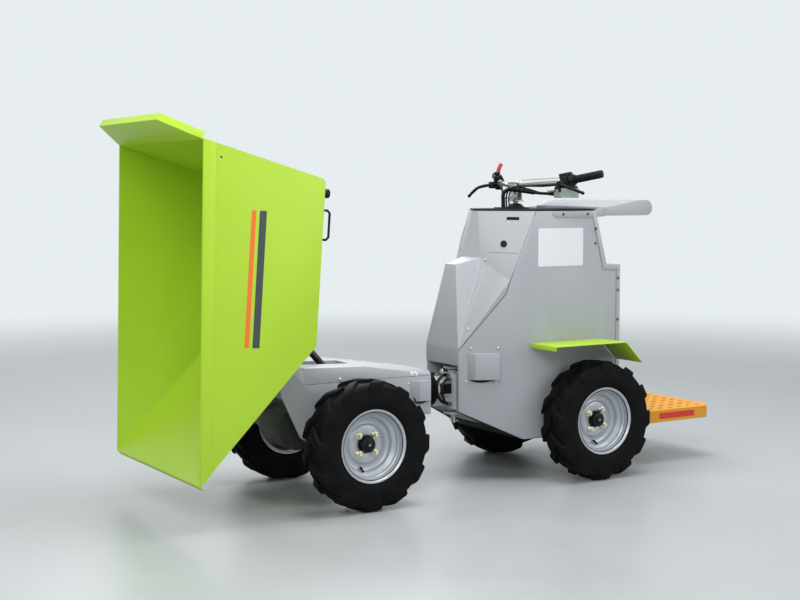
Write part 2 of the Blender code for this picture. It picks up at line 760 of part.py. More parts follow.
def make_fenders():
    sheet = FENDER_SHEET
    outline = [
        (FENDER_FRONT_X, FENDER_TOP - FENDER_NIB), (FENDER_FRONT_X, FENDER_TOP),
        (FENDER_REAR_X, FENDER_TOP), (FENDER_REAR_X - FENDER_TAIL, FENDER_TOP - FENDER_TAIL),
        (FENDER_REAR_X - FENDER_TAIL + sheet, FENDER_TOP - FENDER_TAIL - sheet),
        (FENDER_REAR_X + sheet / 2, FENDER_TOP - sheet),
        (FENDER_FRONT_X - sheet, FENDER_TOP - sheet), (FENDER_FRONT_X - sheet, FENDER_TOP - FENDER_NIB),
    ]
    inner = BODY_HALF + SHEET + GAP
    left = plate([outline], "Y", inner, FENDER_OUT)
    seat = block((FENDER_REAR_X, BODY_HALF + GAP, FENDER_TOP - FENDER_NIB),
                 (FENDER_FRONT_X - sheet / 2, inner + sheet, FENDER_TOP - sheet / 2))
    left = fused(left, seat)
    finish(mirrored(left), "fender_right", "root", "lime")
    finish(left, "fender_left", "root", "lime")


def make_step():
    outline = [
        (STEP_REAR_X, -STEP_HALF + STEP_CHAMFER), (STEP_REAR_X + STEP_CHAMFER, -STEP_HALF),
        (STEP_FRONT_X, -STEP_HALF), (STEP_FRONT_X, STEP_HALF), (STEP_REAR_X + STEP_CHAMFER, STEP_HALF),
        (STEP_REAR_X, STEP_HALF - STEP_CHAMFER),
    ]
    holes = []
    rows = int((STEP_FRONT_X - STEP_REAR_X - STEP_RIM) / STEP_HOLE_PITCH)
    columns = int((STEP_HALF - STEP_RIM) / STEP_HOLE_PITCH)
    for row in range(rows):
        x = STEP_REAR_X + STEP_RIM + STEP_HOLE_PITCH * (row + 1 / 2)
        for column in range(-columns, columns + 1):
            y = column * STEP_HOLE_PITCH
            if abs(y) + STEP_HOLE < STEP_HALF - STEP_CHAMFER - STEP_SHEET + (x - STEP_REAR_X):
                holes.append(circle(x, y, STEP_HOLE, sides=6))
    tread = plate([outline], "Z", STEP_TOP - STEP_SHEET, STEP_TOP)
    punches = plate(holes, "Z", STEP_TOP - STEP_SHEET - OVERRUN, STEP_TOP + OVERRUN)
    skirt = plate([inset(outline, PLATE_PROUD), inset(outline, STEP_SHEET)], "Z",
                  STEP_TOP - STEP_SKIRT, STEP_TOP - STEP_SHEET / 2)
    reach = STEP_REAR_X + STEP_CHAMFER
    low = STEP_TOP - STEP_SHEET - GAP - 2 * STEP_BAR
    bars = []
    gates = []
    for side in (-1, 1):
        middle = side * STEP_BAR_Y
        gates.append(block((STEP_FRONT_X - OVERRUN, middle - STEP_BAR - GAP, low - OVERRUN),
                           (STEP_FRONT_X + OVERRUN, middle + STEP_BAR + GAP, STEP_TOP - STEP_SHEET)))
        bars.append(block((reach, middle - STEP_BAR, low), (BODY_REAR_X - SHEET - 2 * GAP, middle + STEP_BAR,
                                                            low + 2 * STEP_BAR)))
    tie = block((STEP_FRONT_X + STEP_BAR, -STEP_BAR_Y, low), (STEP_FRONT_X + 3 * STEP_BAR, STEP_BAR_Y,
                                                              low + 2 * STEP_BAR))
    finish(fused(bars[0], bars[1], tie), "step_frame", "root", "casting")
    finish(cut(fused(tread, skirt), punches, *gates), "step", "root", "yellow")


def make_hinge():
    # Lug plates in the channel, with the pivot pin and its cross bar
    back = block((CHANNEL_X + GAP, -LUG_HALF, LUG_LOW_Z - LUG_THICK),
                 (CHANNEL_X + LUG_THICK, LUG_HALF, LUG_TOP_Z + LUG_THICK))
    pieces = [back]
    for level in (LUG_LOW_Z - LUG_THICK, LUG_TOP_Z):
        lug = plate([[(CHANNEL_X + GAP, -LUG_HALF), (PIVOT_X, -LUG_HALF)]
                     + [(PIVOT_X + LUG_HALF * math.cos(t), LUG_HALF * math.sin(t))
                        for t in [math.radians(a) for a in range(-75, 90, 15)]]
                     + [(PIVOT_X, LUG_HALF), (CHANNEL_X + GAP, LUG_HALF)]], "Z", level, level + LUG_THICK)
        pieces.append(lug)
    lugs = fused(*pieces)
    bore = rod((PIVOT_X, 0, LUG_LOW_Z - LUG_THICK - OVERRUN), (PIVOT_X, 0, LUG_TOP_Z + LUG_THICK + OVERRUN),
               PIN_RADIUS + GAP)
    finish(cut(lugs, bore), "hinge_lugs", "root", "body grey")
    head_low = LUG_TOP_Z + LUG_THICK + GAP
    tail = LUG_LOW_Z - LUG_THICK - PIN_TAIL
    pin = fused(
        rod((PIVOT_X, 0, tail), (PIVOT_X, 0, head_low + PIN_HEAD_THICK), PIN_RADIUS),
        rod((PIVOT_X, 0, head_low), (PIVOT_X, 0, head_low + PIN_HEAD_THICK), PIN_HEAD),
        rod((PIVOT_X, -CROSS_HALF, tail + PIN_RADIUS), (PIVOT_X, CROSS_HALF, tail + PIN_RADIUS),
            CROSS_RADIUS))
    finish(pin, "pivot_pin", "root", "zinc")


# Axles and wheels

def make_axle(name, joint, x, gearbox_x, gearbox_z, wall):
    # Tube between the wheels, with its centre case, gearbox and brake plates
    disc = WHEEL_Y - DISC_SET - DISC_THICK - GAP
    pieces = [rod((x, -disc, AXLE_Z), (x, disc, AXLE_Z), AXLE_RADIUS)]
    for side in (-1, 1):
        near = side * (wall + SHEET)
        far = near + side * BRAKE_THICK
        pieces.append(rod((x, near, AXLE_Z), (x, far, AXLE_Z), BRAKE_RADIUS, sides=FINE))
    if gearbox_x:
        pieces.append(rod((x, -AXLE_CASE_HALF, AXLE_Z), (x, AXLE_CASE_HALF, AXLE_Z), AXLE_CASE_RADIUS))
        pieces.append(rod((gearbox_x, -GEARBOX_HALF, gearbox_z), (gearbox_x, GEARBOX_HALF, gearbox_z),
                          GEARBOX_RADIUS, sides=FINE))
        pieces.append(block((x, -AXLE_CASE_HALF, AXLE_Z - AXLE_RADIUS),
                            (gearbox_x, AXLE_CASE_HALF, gearbox_z + AXLE_RADIUS)))
    finish(fused(*pieces), name, joint, "casting")


TYRE_ROWS = (
    # radius share between bead and carcass, width share of half the tyre, trails with the lugs
    (0.00, 0.784, 0), (0.145, 0.784, 0), (0.50, 1.00, 0), (0.80, 0.97, 1), (0.95, 0.86, 1), (1.00, 0.45, 1),
)


def lug_angle(column):
    # Edges of the columns: lug, space, lug of the other side, space
    pitch, place = divmod(column, 4)
    shares = (0, LUG_SHARE, 1 / 2, 1 / 2 + LUG_SHARE)
    return LUG_TURN * (pitch + shares[place] - LUG_SHARE / 2)


def make_tyre_mesh():
    # Closed ring of rows and columns; each lug is a patch of tread faces drawn out to full height
    half = TYRE_WIDTH / 2
    columns = 4 * LUG_PITCHES
    rows = []
    for side, table in ((-1, TYRE_ROWS), (1, TYRE_ROWS[::-1])):
        for radius_share, width_share, trails in table:
            radius = TYRE_BEAD + (TYRE_CARCASS - TYRE_BEAD) * radius_share
            rows.append((radius, side * half * width_share, trails * (1 - width_share)))
    work = bmesh.new()
    grid = []
    for column in range(columns):
        line = []
        for radius, across, trail in rows:
            turn = lug_angle(column) + math.radians(LUG_SWEEP) * trail - math.pi / 2
            line.append(work.verts.new((radius * math.cos(turn), across, radius * math.sin(turn))))
        grid.append(line)
    lugs = []
    for column in range(columns):
        here = grid[column]
        after = grid[(column + 1) % columns]
        for row in range(len(rows)):
            beside = (row + 1) % len(rows)
            face = work.faces.new((here[row], here[beside], after[beside], after[row]))
            on_left = column % 4 == 0 and row in (3, 4)
            on_right = column % 4 == 2 and row in (6, 7)
            if on_left or on_right:
                lugs.append(face)
    grown = bmesh.ops.extrude_face_region(work, geom=lugs)
    bmesh.ops.delete(work, geom=lugs, context="FACES_ONLY")
    raised = [item for item in grown["geom"] if isinstance(item, bmesh.types.BMVert)]
    for vertex in raised:
        radius = math.hypot(vertex.co.x, vertex.co.z)
        shoulder = (radius - TYRE_BEAD) / (TYRE_CARCASS - TYRE_BEAD)
        height = TYRE_RADIUS - 2 * SEAT * (1 - shoulder) / (1 - TYRE_ROWS[3][0])
        vertex.co.x *= height / radius
        vertex.co.z *= height / radius
    bmesh.ops.recalc_face_normals(work, faces=work.faces)
    mesh = bpy.data.meshes.new("tyre")
    work.to_mesh(mesh)
    work.free()
    return mesh


def rim_profile():
    # One wall of the rim and its disc, outboard side up; (radius, along)
    edge = RIM_WIDTH / 2
    well = RIM_WIDTH / 5
    bead = TYRE_BEAD - 2 * GAP
    disc = -DISC_SET
    inner = RIM_WELL - RIM_WALL
    return [
        (RIM_FLANGE, edge), (RIM_FLANGE, edge - RIM_WALL), (bead, edge - RIM_WALL), (bead, well),
        (RIM_WELL, well - RIM_WALL), (RIM_WELL, -well), (bead, -well - RIM_WALL), (bead, RIM_WALL - edge),
        (RIM_FLANGE, RIM_WALL - edge), (RIM_FLANGE, -edge), (bead - RIM_WALL, -edge),
        (inner, -well), (inner, disc - DISC_THICK), (0, disc - DISC_THICK), (0, disc), (inner, disc),
        (inner, well - RIM_WALL), (bead - RIM_WALL, well), (bead - RIM_WALL, edge),
    ]


def make_wheels():
    for name, joint, x, side in (
            ("rear_left", "root", 0, 1), ("rear_right", "root", 0, -1),
            ("front_left", "roll", WHEELBASE, 1), ("front_right", "roll", WHEELBASE, -1)):
        place = Vector((x, side * WHEEL_Y, AXLE_Z))
        empty = bpy.data.objects.new("axis_wheel_" + name, None)
        parts.objects.link(empty)
        empty.parent = empties[joint]
        empty.location = place - Vector(JOINT_PLACES[joint])
        tyre = loose(make_tyre_mesh())
        profile = rim_profile()
        start_at = profile.index((0, -DISC_SET))
        profile = profile[start_at:] + profile[:start_at]
        rim = turned(profile, (0, 0, 0), (0, side, 0))
        bolts = []
        for i in range(4):
            turn = math.pi / 4 + math.pi / 2 * i
            spot = Vector((BOLT_CIRCLE * math.cos(turn), 0, BOLT_CIRCLE * math.sin(turn)))
            bolts.append(rod(spot - Vector((0, side * (DISC_SET + SEAT), 0)),
                             spot + Vector((0, side * BOLT_RADIUS, 0)), BOLT_RADIUS, sides=6))
        rim = fused(rim, *bolts)
        cap = rod((0, side * (GAP - DISC_SET), 0), (0, side * (HUB_REACH - DISC_SET), 0), HUB_RADIUS)
        for thing, kind, material in ((tyre, "tyre_", "tyre"), (rim, "rim_", "rim"), (cap, "hub_", "black")):
            thing.name = kind + name
            thing.data.name = kind + name
            thing.data.materials.clear()
            thing.data.materials.append(finishes[material])
            thing.parent = empty


# Knuckle between the two halves

def make_knuckle():
    low = LUG_LOW_Z + KNUCKLE_CLEAR
    high = LUG_TOP_Z - KNUCKLE_CLEAR
    sleeve = rod((PIVOT_X, 0, low), (PIVOT_X, 0, high), TUBE_RADIUS, sides=FINE)
    web = block((PIVOT_X, -WEB_THICK / 2, low + 2 * PIN_RADIUS),
                (ROLL_DISC_X + SEAT, WEB_THICK / 2, high - 2 * PIN_RADIUS))
    webs = [web]
    for level in (ROLL_Z - WEB_HALF, ROLL_Z + WEB_HALF):
        webs.append(block((PIVOT_X, -WEB_HALF, level - WEB_THICK / 2),
                          (ROLL_DISC_X + SEAT, WEB_HALF, level + WEB_THICK / 2)))
    yoke_at = PIVOT_X + TUBE_RADIUS - SEAT
    webs.append(block((yoke_at, -YOKE_HALF, low + PIN_RADIUS),
                      (yoke_at + WEB_THICK, YOKE_HALF, high - PIN_RADIUS)))
    disc = rod((ROLL_DISC_X, 0, ROLL_Z), (ROLL_DISC_X + ROLL_DISC_THICK, 0, ROLL_Z), ROLL_DISC, sides=FINE)
    shaft = rod((ROLL_DISC_X, 0, ROLL_Z), (FRAME_REAR_X - SEAT - GAP, 0, ROLL_Z), ROLL_SHAFT, sides=FINE)
    body = fused(sleeve, *webs, disc, shaft)
    bore = rod((PIVOT_X, 0, low - OVERRUN), (PIVOT_X, 0, high + OVERRUN), bore_for(PIN_RADIUS))
    finish(cut(body, bore), "knuckle", "steer", "body grey")
    stop = block((yoke_at + WEB_THICK + GAP, WEB_THICK / 2 + GAP, ROLL_Z - WEB_HALF + WEB_THICK / 2 + GAP),
                 (ROLL_DISC_X - GAP, WEB_HALF + WEB_THICK, ROLL_Z + WEB_HALF - WEB_THICK / 2 - GAP))
    finish(stop, "steer_stop", "steer", "black")


# Front frame and what it carries

def frame_plan():
    return [
        (FRAME_REAR_X, -FRAME_REAR_HALF), (FRAME_CORNER_X, -FRAME_HALF), (TRAY_FRONT_X, -FRAME_HALF),
        (TRAY_FRONT_X, FRAME_HALF), (FRAME_CORNER_X, FRAME_HALF), (FRAME_REAR_X, FRAME_REAR_HALF),
    ]


def side_plate_outline():
    # Side of the frame, from the tray over the axle to the skip's hinge pin
    around = TIP_TUBE + GAP
    tip = [(TIP_X + around * math.cos(math.radians(a)), TIP_Z + around * math.sin(math.radians(a)))
           for a in range(-30, 151, 30)]
    return [
        (TRAY_FRONT_X - SEAT - FRAME_WALL, FRAME_FLOOR - SEAT),
        (WHEELBASE - AXLE_PLATE_HALF, AXLE_PLATE_LOW_Z),
        (WHEELBASE + AXLE_PLATE_HALF, AXLE_PLATE_LOW_Z), (NOSE_PLATE_LOW_X, NOSE_PLATE_LOW_Z),
        (NOSE_PLATE_X, NOSE_PLATE_Z)] + tip + [
        (HUMP_FRONT_X + FRAME_WALL, HUMP_TOP - FRAME_WALL), (HUMP_FRONT_X, FRAME_TOP - PLATE_PROUD),
        (TRAY_FRONT_X - SEAT - FRAME_WALL, FRAME_TOP - PLATE_PROUD),
    ]


def make_front_frame():
    tray = plate([frame_plan()], "Z", FRAME_FLOOR, FRAME_TOP)
    room = plate([inset(frame_plan(), FRAME_WALL)], "Z", FRAME_FLOOR + FRAME_WALL, FRAME_TOP + OVERRUN)
    slot = block((CYL_X - CROSS_PIN, -EYE_HALF * 2, FRAME_FLOOR - OVERRUN),
                 (TRAY_FRONT_X + OVERRUN, EYE_HALF * 2, FRAME_TOP + OVERRUN))
    frame = cut(tray, room, slot)
    pieces = []
    for side in (-1, 1):
        near = sorted((side * (FRAME_HALF + PLATE_PROUD), side * (FRAME_HALF - FRAME_WALL - PLATE_PROUD)))
        pieces.append(plate([side_plate_outline()], "Y", *near))
        ear = sorted((side * EYE_HALF * 2, side * (EYE_HALF * 2 + SPINE_THICK)))
        pieces.append(plate([[(CYL_X - SPINE_EYE, CYL_Z - SPINE_EYE), (CYL_X + SPINE_EYE, CYL_Z - SPINE_EYE),
                              (CYL_X + 3 * SPINE_EYE, FRAME_FLOOR + SPINE_EYE),
                              (CYL_X - SPINE_EYE, FRAME_FLOOR + SPINE_EYE)]], "Y", *ear))
    tie = block((HUMP_FRONT_X - FRAME_WALL, SEAT - FRAME_HALF, TIE_LOW),
                (HUMP_FRONT_X, FRAME_HALF - SEAT, TIE_HIGH))
    boss = rod((ROLL_DISC_X + ROLL_DISC_THICK + ROLL_CLEAR, 0, ROLL_Z), (FRAME_REAR_X + SEAT, 0, ROLL_Z),
               ROLL_BOSS, sides=FINE)
    frame = fused(frame, *pieces, tie, boss)
    bores = [rod((WHEELBASE, -FRAME_HALF - OVERRUN, AXLE_Z), (WHEELBASE, FRAME_HALF + OVERRUN, AXLE_Z),
                 AXLE_RADIUS + GAP),
             rod((TIP_X, -FRAME_HALF - OVERRUN, TIP_Z), (TIP_X, FRAME_HALF + OVERRUN, TIP_Z), TIP_PIN + GAP),
             rod((ROLL_DISC_X, 0, ROLL_Z), (FRAME_REAR_X - SEAT, 0, ROLL_Z), ROLL_SHAFT + GAP, sides=FINE),
             rod((CYL_X, -HUMP_SLOT_HALF, CYL_Z), (CYL_X, HUMP_SLOT_HALF, CYL_Z), CROSS_PIN + GAP)]
    finish(cut(frame, *bores), "front_frame", "roll", "body grey")


def make_front_cover():
    low = FRAME_TOP + GAP
    inner = FRAME_HALF - HUMP_SET
    shape = hull(both_sides([
        (FRAME_REAR_X, FRAME_REAR_HALF, low), (FRAME_CORNER_X, FRAME_HALF, low),
        (HUMP_FRONT_X, FRAME_HALF - FRAME_WALL - GAP, low), (TRAY_FRONT_X, FRAME_HALF, low),
        (FRAME_REAR_X, FRAME_REAR_HALF, low + COVER_SHEET), (FRAME_CORNER_X, FRAME_HALF, low + COVER_SHEET),
        (HUMP_REAR_X, inner, HUMP_REAR_TOP), (HUMP_FRONT_X, inner, HUMP_TOP),
    ]))
    slot = block((HUMP_REAR_X, -HUMP_SLOT_HALF, low - OVERRUN),
                 (HUMP_FRONT_X + OVERRUN, HUMP_SLOT_HALF, HUMP_TOP + OVERRUN))
    room = hull(both_sides([
        (FRAME_CORNER_X + OVERRUN, FRAME_REAR_HALF, low - OVERRUN),
        (HUMP_REAR_X, HUMP_SLOT_HALF + COVER_SHEET, low - OVERRUN),
        (HUMP_REAR_X, FRAME_REAR_HALF, HUMP_REAR_TOP - 2 * COVER_SHEET),
        (HUMP_REAR_X, FRAME_REAR_HALF, low - OVERRUN),
    ]))
    finish(cut(shape, slot, room), "front_cover", "roll", "body grey")


def make_tip_pin():
    reach = FRAME_HALF + FRAME_WALL
    pin = rod((TIP_X, -reach, TIP_Z), (TIP_X, reach, TIP_Z), TIP_PIN)
    caps = []
    for side in (-1, 1):
        near = side * (FRAME_HALF + PLATE_PROUD + GAP)
        caps.append(rod((TIP_X, near, TIP_Z), (TIP_X, side * (reach + SEAT), TIP_Z), TIP_TUBE - SEAT))
    finish(fused(pin, *caps), "tip_pin", "roll", "zinc")
    finish(rod((CYL_X, -HUMP_SLOT_HALF + SEAT, CYL_Z), (CYL_X, HUMP_SLOT_HALF - SEAT, CYL_Z), CROSS_PIN),
           "cylinder_pin", "roll", "zinc")


def make_frame_vents():
    for side, name in ((1, "frame_vent_left"), (-1, "frame_vent_right")):
        vent_cover(name, "roll", (FRAME_VENT_X, side * FRAME_HALF, FRAME_VENT_Z), (0, side, 0),
                   FRAME_VENT_SIZE, FRAME_VENT_SIZE, VENT_DEPTH)


# Skip, about its hinge pin, as it lies when lowered

def skip_outline():
    base = -BASE_DROP
    front = -BASE_FRONT
    rear = front - BASE_LENGTH
    return [
        (front, base), (POUR_REACH, base + POUR_RISE), (rear - REAR_LEAN, base + REAR_RISE), (rear, base),
    ]


def make_skip():
    outline = skip_outline()
    outer = rounded(outline, 3, SKIP_CORNER)
    shell = plate([outer], "Y", -SKIP_HALF, SKIP_HALF)
    inner = inset(outline, SKIP_WALL)
    pour, rear = Vector(outline[1]), Vector(outline[2])
    rim = (rear - pour).normalized()
    up = Vector((rim.y, -rim.x))
    # The hollow runs past the rim along both end walls
    lift = OVERRUN
    front_wall = (Vector(inner[1]) - Vector(inner[0])).normalized()
    rear_wall = (Vector(inner[2]) - Vector(inner[3])).normalized()
    inner[1] = tuple(Vector(inner[1]) + front_wall * lift / front_wall.dot(up))
    inner[2] = tuple(Vector(inner[2]) + rear_wall * lift / rear_wall.dot(up))
    hollow = plate([rounded(inner, 3, SKIP_CORNER - SKIP_WALL)], "Y",
                   SKIP_WALL - SKIP_HALF, SKIP_HALF - SKIP_WALL)
    shell = cut(shell, hollow)
    bands = []
    for side in (-1, 1):
        near = sorted((side * (SKIP_HALF - SKIP_WALL / 2), side * (SKIP_HALF + RIM_PROUD)))
        a, b, c, d = [Vector(point) for point in inset(outline, PLATE_PROUD)]
        run_front = (a - b).normalized()
        run_rear = (d - c).normalized()
        bands.append(plate([[tuple(b), tuple(c), tuple(c + run_rear * RIM_BAND / abs(run_rear.dot(up))),
                             tuple(b + run_front * RIM_BAND / abs(run_front.dot(up)))]], "Y", *near))
    # Folded pour edge under the front wall
    run = (pour - Vector(outline[0])).normalized()
    down = Vector((run.y, -run.x))
    low, high = pour - run * (SKIP_WALL + PLATE_PROUD), pour - run * PLATE_PROUD
    fold = plate([[tuple(low - down * SEAT), tuple(low + down * POUR_FOLD), tuple(high + down * POUR_FOLD),
                   tuple(high - down * SEAT)]], "Y", PLATE_PROUD - SKIP_HALF, SKIP_HALF - PLATE_PROUD)
    finish(fused(shell, *bands, fold, make_lip(rear)), "skip", "tip", "lime")


def make_lip(rear):
    # Flat trapezium rising from the rear rim, folded along its three free edges
    run = Vector((-LIP_LEAN, LIP_RISE))
    length = run.length
    sheet = SKIP_WALL
    foot = SKIP_HALF - SKIP_WALL / 2
    flat = plate([[(-foot, -SEAT), (foot, -SEAT), (LIP_HALF, length), (-LIP_HALF, length)]], "Z", 0, sheet)
    fold = block((PLATE_PROUD - LIP_HALF, length - sheet - PLATE_PROUD, -LIP_FOLD),
                 (LIP_HALF - PLATE_PROUD, length - PLATE_PROUD, sheet / 2))
    sides = []
    for side in (-1, 1):
        low = Vector((side * (foot - 2 * PLATE_PROUD), SEAT))
        high = Vector((side * (LIP_HALF - 2 * PLATE_PROUD), length - 2 * PLATE_PROUD))
        across = Vector((side * 2 * sheet, 0))
        sides.append(plate([[tuple(low), tuple(high), tuple(high - across), tuple(low - across)]], "Z",
                           -LIP_FOLD, sheet / 2))
    lip = fused(flat, fold, *sides)
    along = run.normalized()
    # Local x runs across the skip, local y up the lip, local z towards the load
    matrix = Matrix(((0, along.x, along.y, rear.x), (-1, 0, 0, 0),
                     (0, along.y, -along.x, rear.y), (0, 0, 0, 1)))
    return moved(lip, matrix)


def make_spine():
    # Hinge tube with its ribs, welded under the skip; the inner pair has the bosses of the cylinder's pin
    outline = inset(skip_outline(), -GAP)
    front, pour = Vector(outline[0]), Vector(outline[1])
    slope = (pour - front).normalized()
    eye = Vector((-SPINE_BACK, -BASE_DROP - SPINE_DROP))
    pieces = [rod((0, -TIP_TUBE_HALF, 0), (0, TIP_TUBE_HALF, 0), TIP_TUBE)]
    for y in (SPINE_Y, OUTER_RIB_Y):
        for side in (-1, 1):
            near = (side * y - SPINE_THICK / 2, side * y + SPINE_THICK / 2)
            end = front + slope * RIB_RUN
            if y == SPINE_Y:
                turns = [math.radians(a) for a in range(180, 301, 30)]
                low = [(eye.x + SPINE_EYE * math.cos(t), eye.y + SPINE_EYE * math.sin(t)) for t in turns]
                shape = [(eye.x - SPINE_EYE, front.y)] + low + [(0, -TIP_TUBE), tuple(end), tuple(front)]
            else:
                shape = [(front.x - RIB_RUN, front.y), (front.x, front.y - TIP_TUBE / 2), (0, -TIP_TUBE),
                         tuple(end), tuple(front)]
            pieces.append(plate([shape], "Y", *near))
    for side in (-1, 1):
        pieces.append(rod((eye.x, side * SPINE_Y, eye.y), (eye.x, side * (SPINE_Y + SPINE_THICK), eye.y),
                          SPINE_EYE - SEAT))
    spine = fused(*pieces)
    bore = rod((0, -TIP_TUBE_HALF - OVERRUN, 0), (0, TIP_TUBE_HALF + OVERRUN, 0), bore_for(TIP_PIN))
    finish(cut(spine, bore), "skip_hinge", "tip", "casting")


def make_skip_fittings():
    base = -BASE_DROP - GAP
    first = -BASE_FRONT - HANDLE_BACK
    last = first + HANDLE_SPAN
    handle = tube([(first, HANDLE_Y, base), (first, HANDLE_Y, base - HANDLE_STAND + 2 * HANDLE_RADIUS),
                   (first + 2 * HANDLE_RADIUS, HANDLE_Y, base - HANDLE_STAND),
                   (last - 2 * HANDLE_RADIUS, HANDLE_Y, base - HANDLE_STAND),
                   (last, HANDLE_Y, base - HANDLE_STAND + 2 * HANDLE_RADIUS), (last, HANDLE_Y, base)],
                  HANDLE_RADIUS)
    finish(handle, "skip_handle", "tip", "black")
    spot = -BASE_FRONT - BUFFER_BACK
    finish(rod((spot, HANDLE_Y, base), (spot, HANDLE_Y, base - BUFFER_TALL), BUFFER_RADIUS),
           "skip_buffer", "tip", "black")


# Tipping cylinder

def cylinder_run():
    turn = math.radians(TIP_ANGLE)
    x, z = -SPINE_BACK, -BASE_DROP - SPINE_DROP
    eye = Vector((TIP_X + x * math.cos(turn) + z * math.sin(turn),
                  TIP_Z - x * math.sin(turn) + z * math.cos(turn)))
    foot = Vector((CYL_X, CYL_Z))
    return foot, eye, (eye - foot).normalized()


def make_cylinder():
    foot, eye, along = cylinder_run()

    def at(distance, y=0):
        spot = foot + along * distance
        return (spot.x, y, spot.y)

    half = EYE_HALF * 2 - SEAT
    barrel = fused(rod(at(0, -half), at(0, half), SPINE_EYE - SEAT),
                   rod(at(CROSS_PIN), at(BARREL_LENGTH), BARREL_RADIUS),
                   rod(at(BARREL_LENGTH - BARREL_CAP), at(BARREL_LENGTH), BARREL_RADIUS + SEAT))
    length = (eye - foot).length
    barrel = cut(barrel, rod(at(0, -half - OVERRUN), at(0, half + OVERRUN), bore_for(CROSS_PIN)),
                 rod(at(SPINE_EYE), at(BARREL_LENGTH + OVERRUN), ROD_RADIUS + GAP))
    finish(barrel, "tip_cylinder", "cylinder", "casting")
    shaft = fused(rod(at(BARREL_LENGTH - 2 * BARREL_CAP), at(length - CROSS_PIN - SEAT), ROD_RADIUS),
                  rod(at(length, -EYE_HALF), at(length, EYE_HALF), EYE_RADIUS))
    shaft = cut(shaft, rod(at(length, -EYE_HALF - OVERRUN), at(length, EYE_HALF + OVERRUN), CROSS_PIN + GAP))
    finish(shaft, "tip_rod", "rod", "zinc")
    # The pin stops short of the ribs, because the linkage is opened here
    reach = EYE_HALF + SEAT
    finish(rod(at(length, -reach), at(length, reach), CROSS_PIN), "rod_pin", "rod", "zinc")


# Handlebar

def bar_points(side):
    return [(STEM_X, side * BAR_STRAIGHT / 2, BAR_Z), (BAR_HIP_X, side * BAR_HIP_Y, BAR_HIP_Z),
            (BAR_END_X, side * BAR_END_Y, BAR_END_Z)]


def make_bar():
    deck_top = BODY_TOP + DECK_THICK + 2 * GAP
    boot = fused(rod((STEM_X, 0, deck_top + SEAT), (STEM_X, 0, deck_top + STEM_BASE_TALL), STEM_BASE,
                     STEM_BASE / 2, sides=FINE),
                 block((STEM_PLATE_REAR, -STEM_BASE, deck_top),
                       (STEM_PLATE_FRONT, STEM_BASE, deck_top + STEM_PLATE_THICK)))
    finish(boot, "stem_boot", "root", "black")
    post = rod((STEM_X, 0, deck_top + STEM_BASE_TALL + GAP), (STEM_X, 0, STEM_TOP), STEM_RADIUS)
    clamp = block((STEM_X - CLAMP_SIZE / 2, -CLAMP_SIZE / 2, STEM_TOP - SEAT),
                  (STEM_X + CLAMP_SIZE / 2, CLAMP_SIZE / 2, BAR_Z - BAR_RADIUS - GAP))
    finish(fused(post, clamp), "stem", "bar", "zinc")
    left = bar_points(1)
    right = bar_points(-1)
    finish(tube(right[::-1] + left, BAR_RADIUS, resolution=3), "handlebar", "bar", "zinc")
    for name, side, middle, tip in LEVERS:
        _, hip, end = [Vector(p) for p in bar_points(side)]
        run = end - hip
        along = run.normalized()
        start_at = end - run * GRIP_SHARE
        grip = rod(start_at, end + along * BAR_RADIUS, GRIP_RADIUS)
        grip = cut(grip, rod(start_at - along * OVERRUN, end + along * GAP, BAR_RADIUS + 2 * GAP))
        finish(grip, "grip_" + name, "bar", "black")
        perch = hip + run * PERCH_SHARE
        ring = rod(perch - along * PERCH_HALF, perch + along * PERCH_HALF, PERCH_RADIUS)
        ahead = Vector((1, 0, 0))
        pivot = perch + ahead * LEVER_AHEAD - Vector((0, 0, LEVER_DROP))
        arm = rod(perch + ahead * (BAR_RADIUS + SEAT), pivot, 2 * LEVER_RADIUS, sides=LEVER_SIDES)
        blade = tube([pivot] + [pivot + Vector((x, side * y, z)) for x, y, z in (middle, tip)], LEVER_RADIUS)
        lever = fused(ring, arm, blade)
        reach = along * (PERCH_HALF + OVERRUN)
        lever = cut(lever, rod(perch - reach, perch + reach, BAR_RADIUS + 2 * GAP))
        finish(lever, "lever_" + name, "bar", "black")
    make_thumb_lever()
    make_control_box()


def make_thumb_lever():
    _, hip, end = [Vector(p) for p in bar_points(-1)]
    spot = hip + (end - hip) * PERCH_SHARE
    along = (end - hip).normalized()
    thumb = block((spot.x - THUMB_THICK / 2, spot.y - THUMB_WIDE / 2, spot.z + BAR_RADIUS),
                  (spot.x + THUMB_THICK / 2, spot.y + THUMB_WIDE / 2, spot.z + BAR_RADIUS + THUMB_TALL))
    ring = rod(spot - along * OVERRUN, spot + along * OVERRUN, PERCH_RADIUS + GAP)
    finish(cut(thumb, ring), "thumb_lever", "bar", "red")


def make_control_box():
    box = block((BOX_X - BOX_LENGTH / 2, BOX_Y - BOX_WIDTH / 2, BOX_TOP - BOX_TALL),
                (BOX_X + BOX_LENGTH / 2, BOX_Y + BOX_WIDTH / 2, BOX_TOP))
    post = rod((BAR_HIP_X, BAR_HIP_Y, BOX_TOP - SEAT), (BAR_HIP_X, BAR_HIP_Y, BAR_HIP_Z - BAR_RADIUS - GAP),
               STEM_RADIUS)
    finish(fused(box, post), "control_box", "bar", "casting")


def make_loom():
    # Cable loom from the deck beside the stem up to the bar and along it to the control box
    deck_top = BODY_TOP + DECK_THICK + 2 * GAP
    route = [Vector((x, y, deck_top + z)) for x, y, z in LOOM_ROUTE]
    finish(tube(smooth_route(route, LOOM_POINTS), LOOM_RADIUS), "cable_loom", "bar", "black")


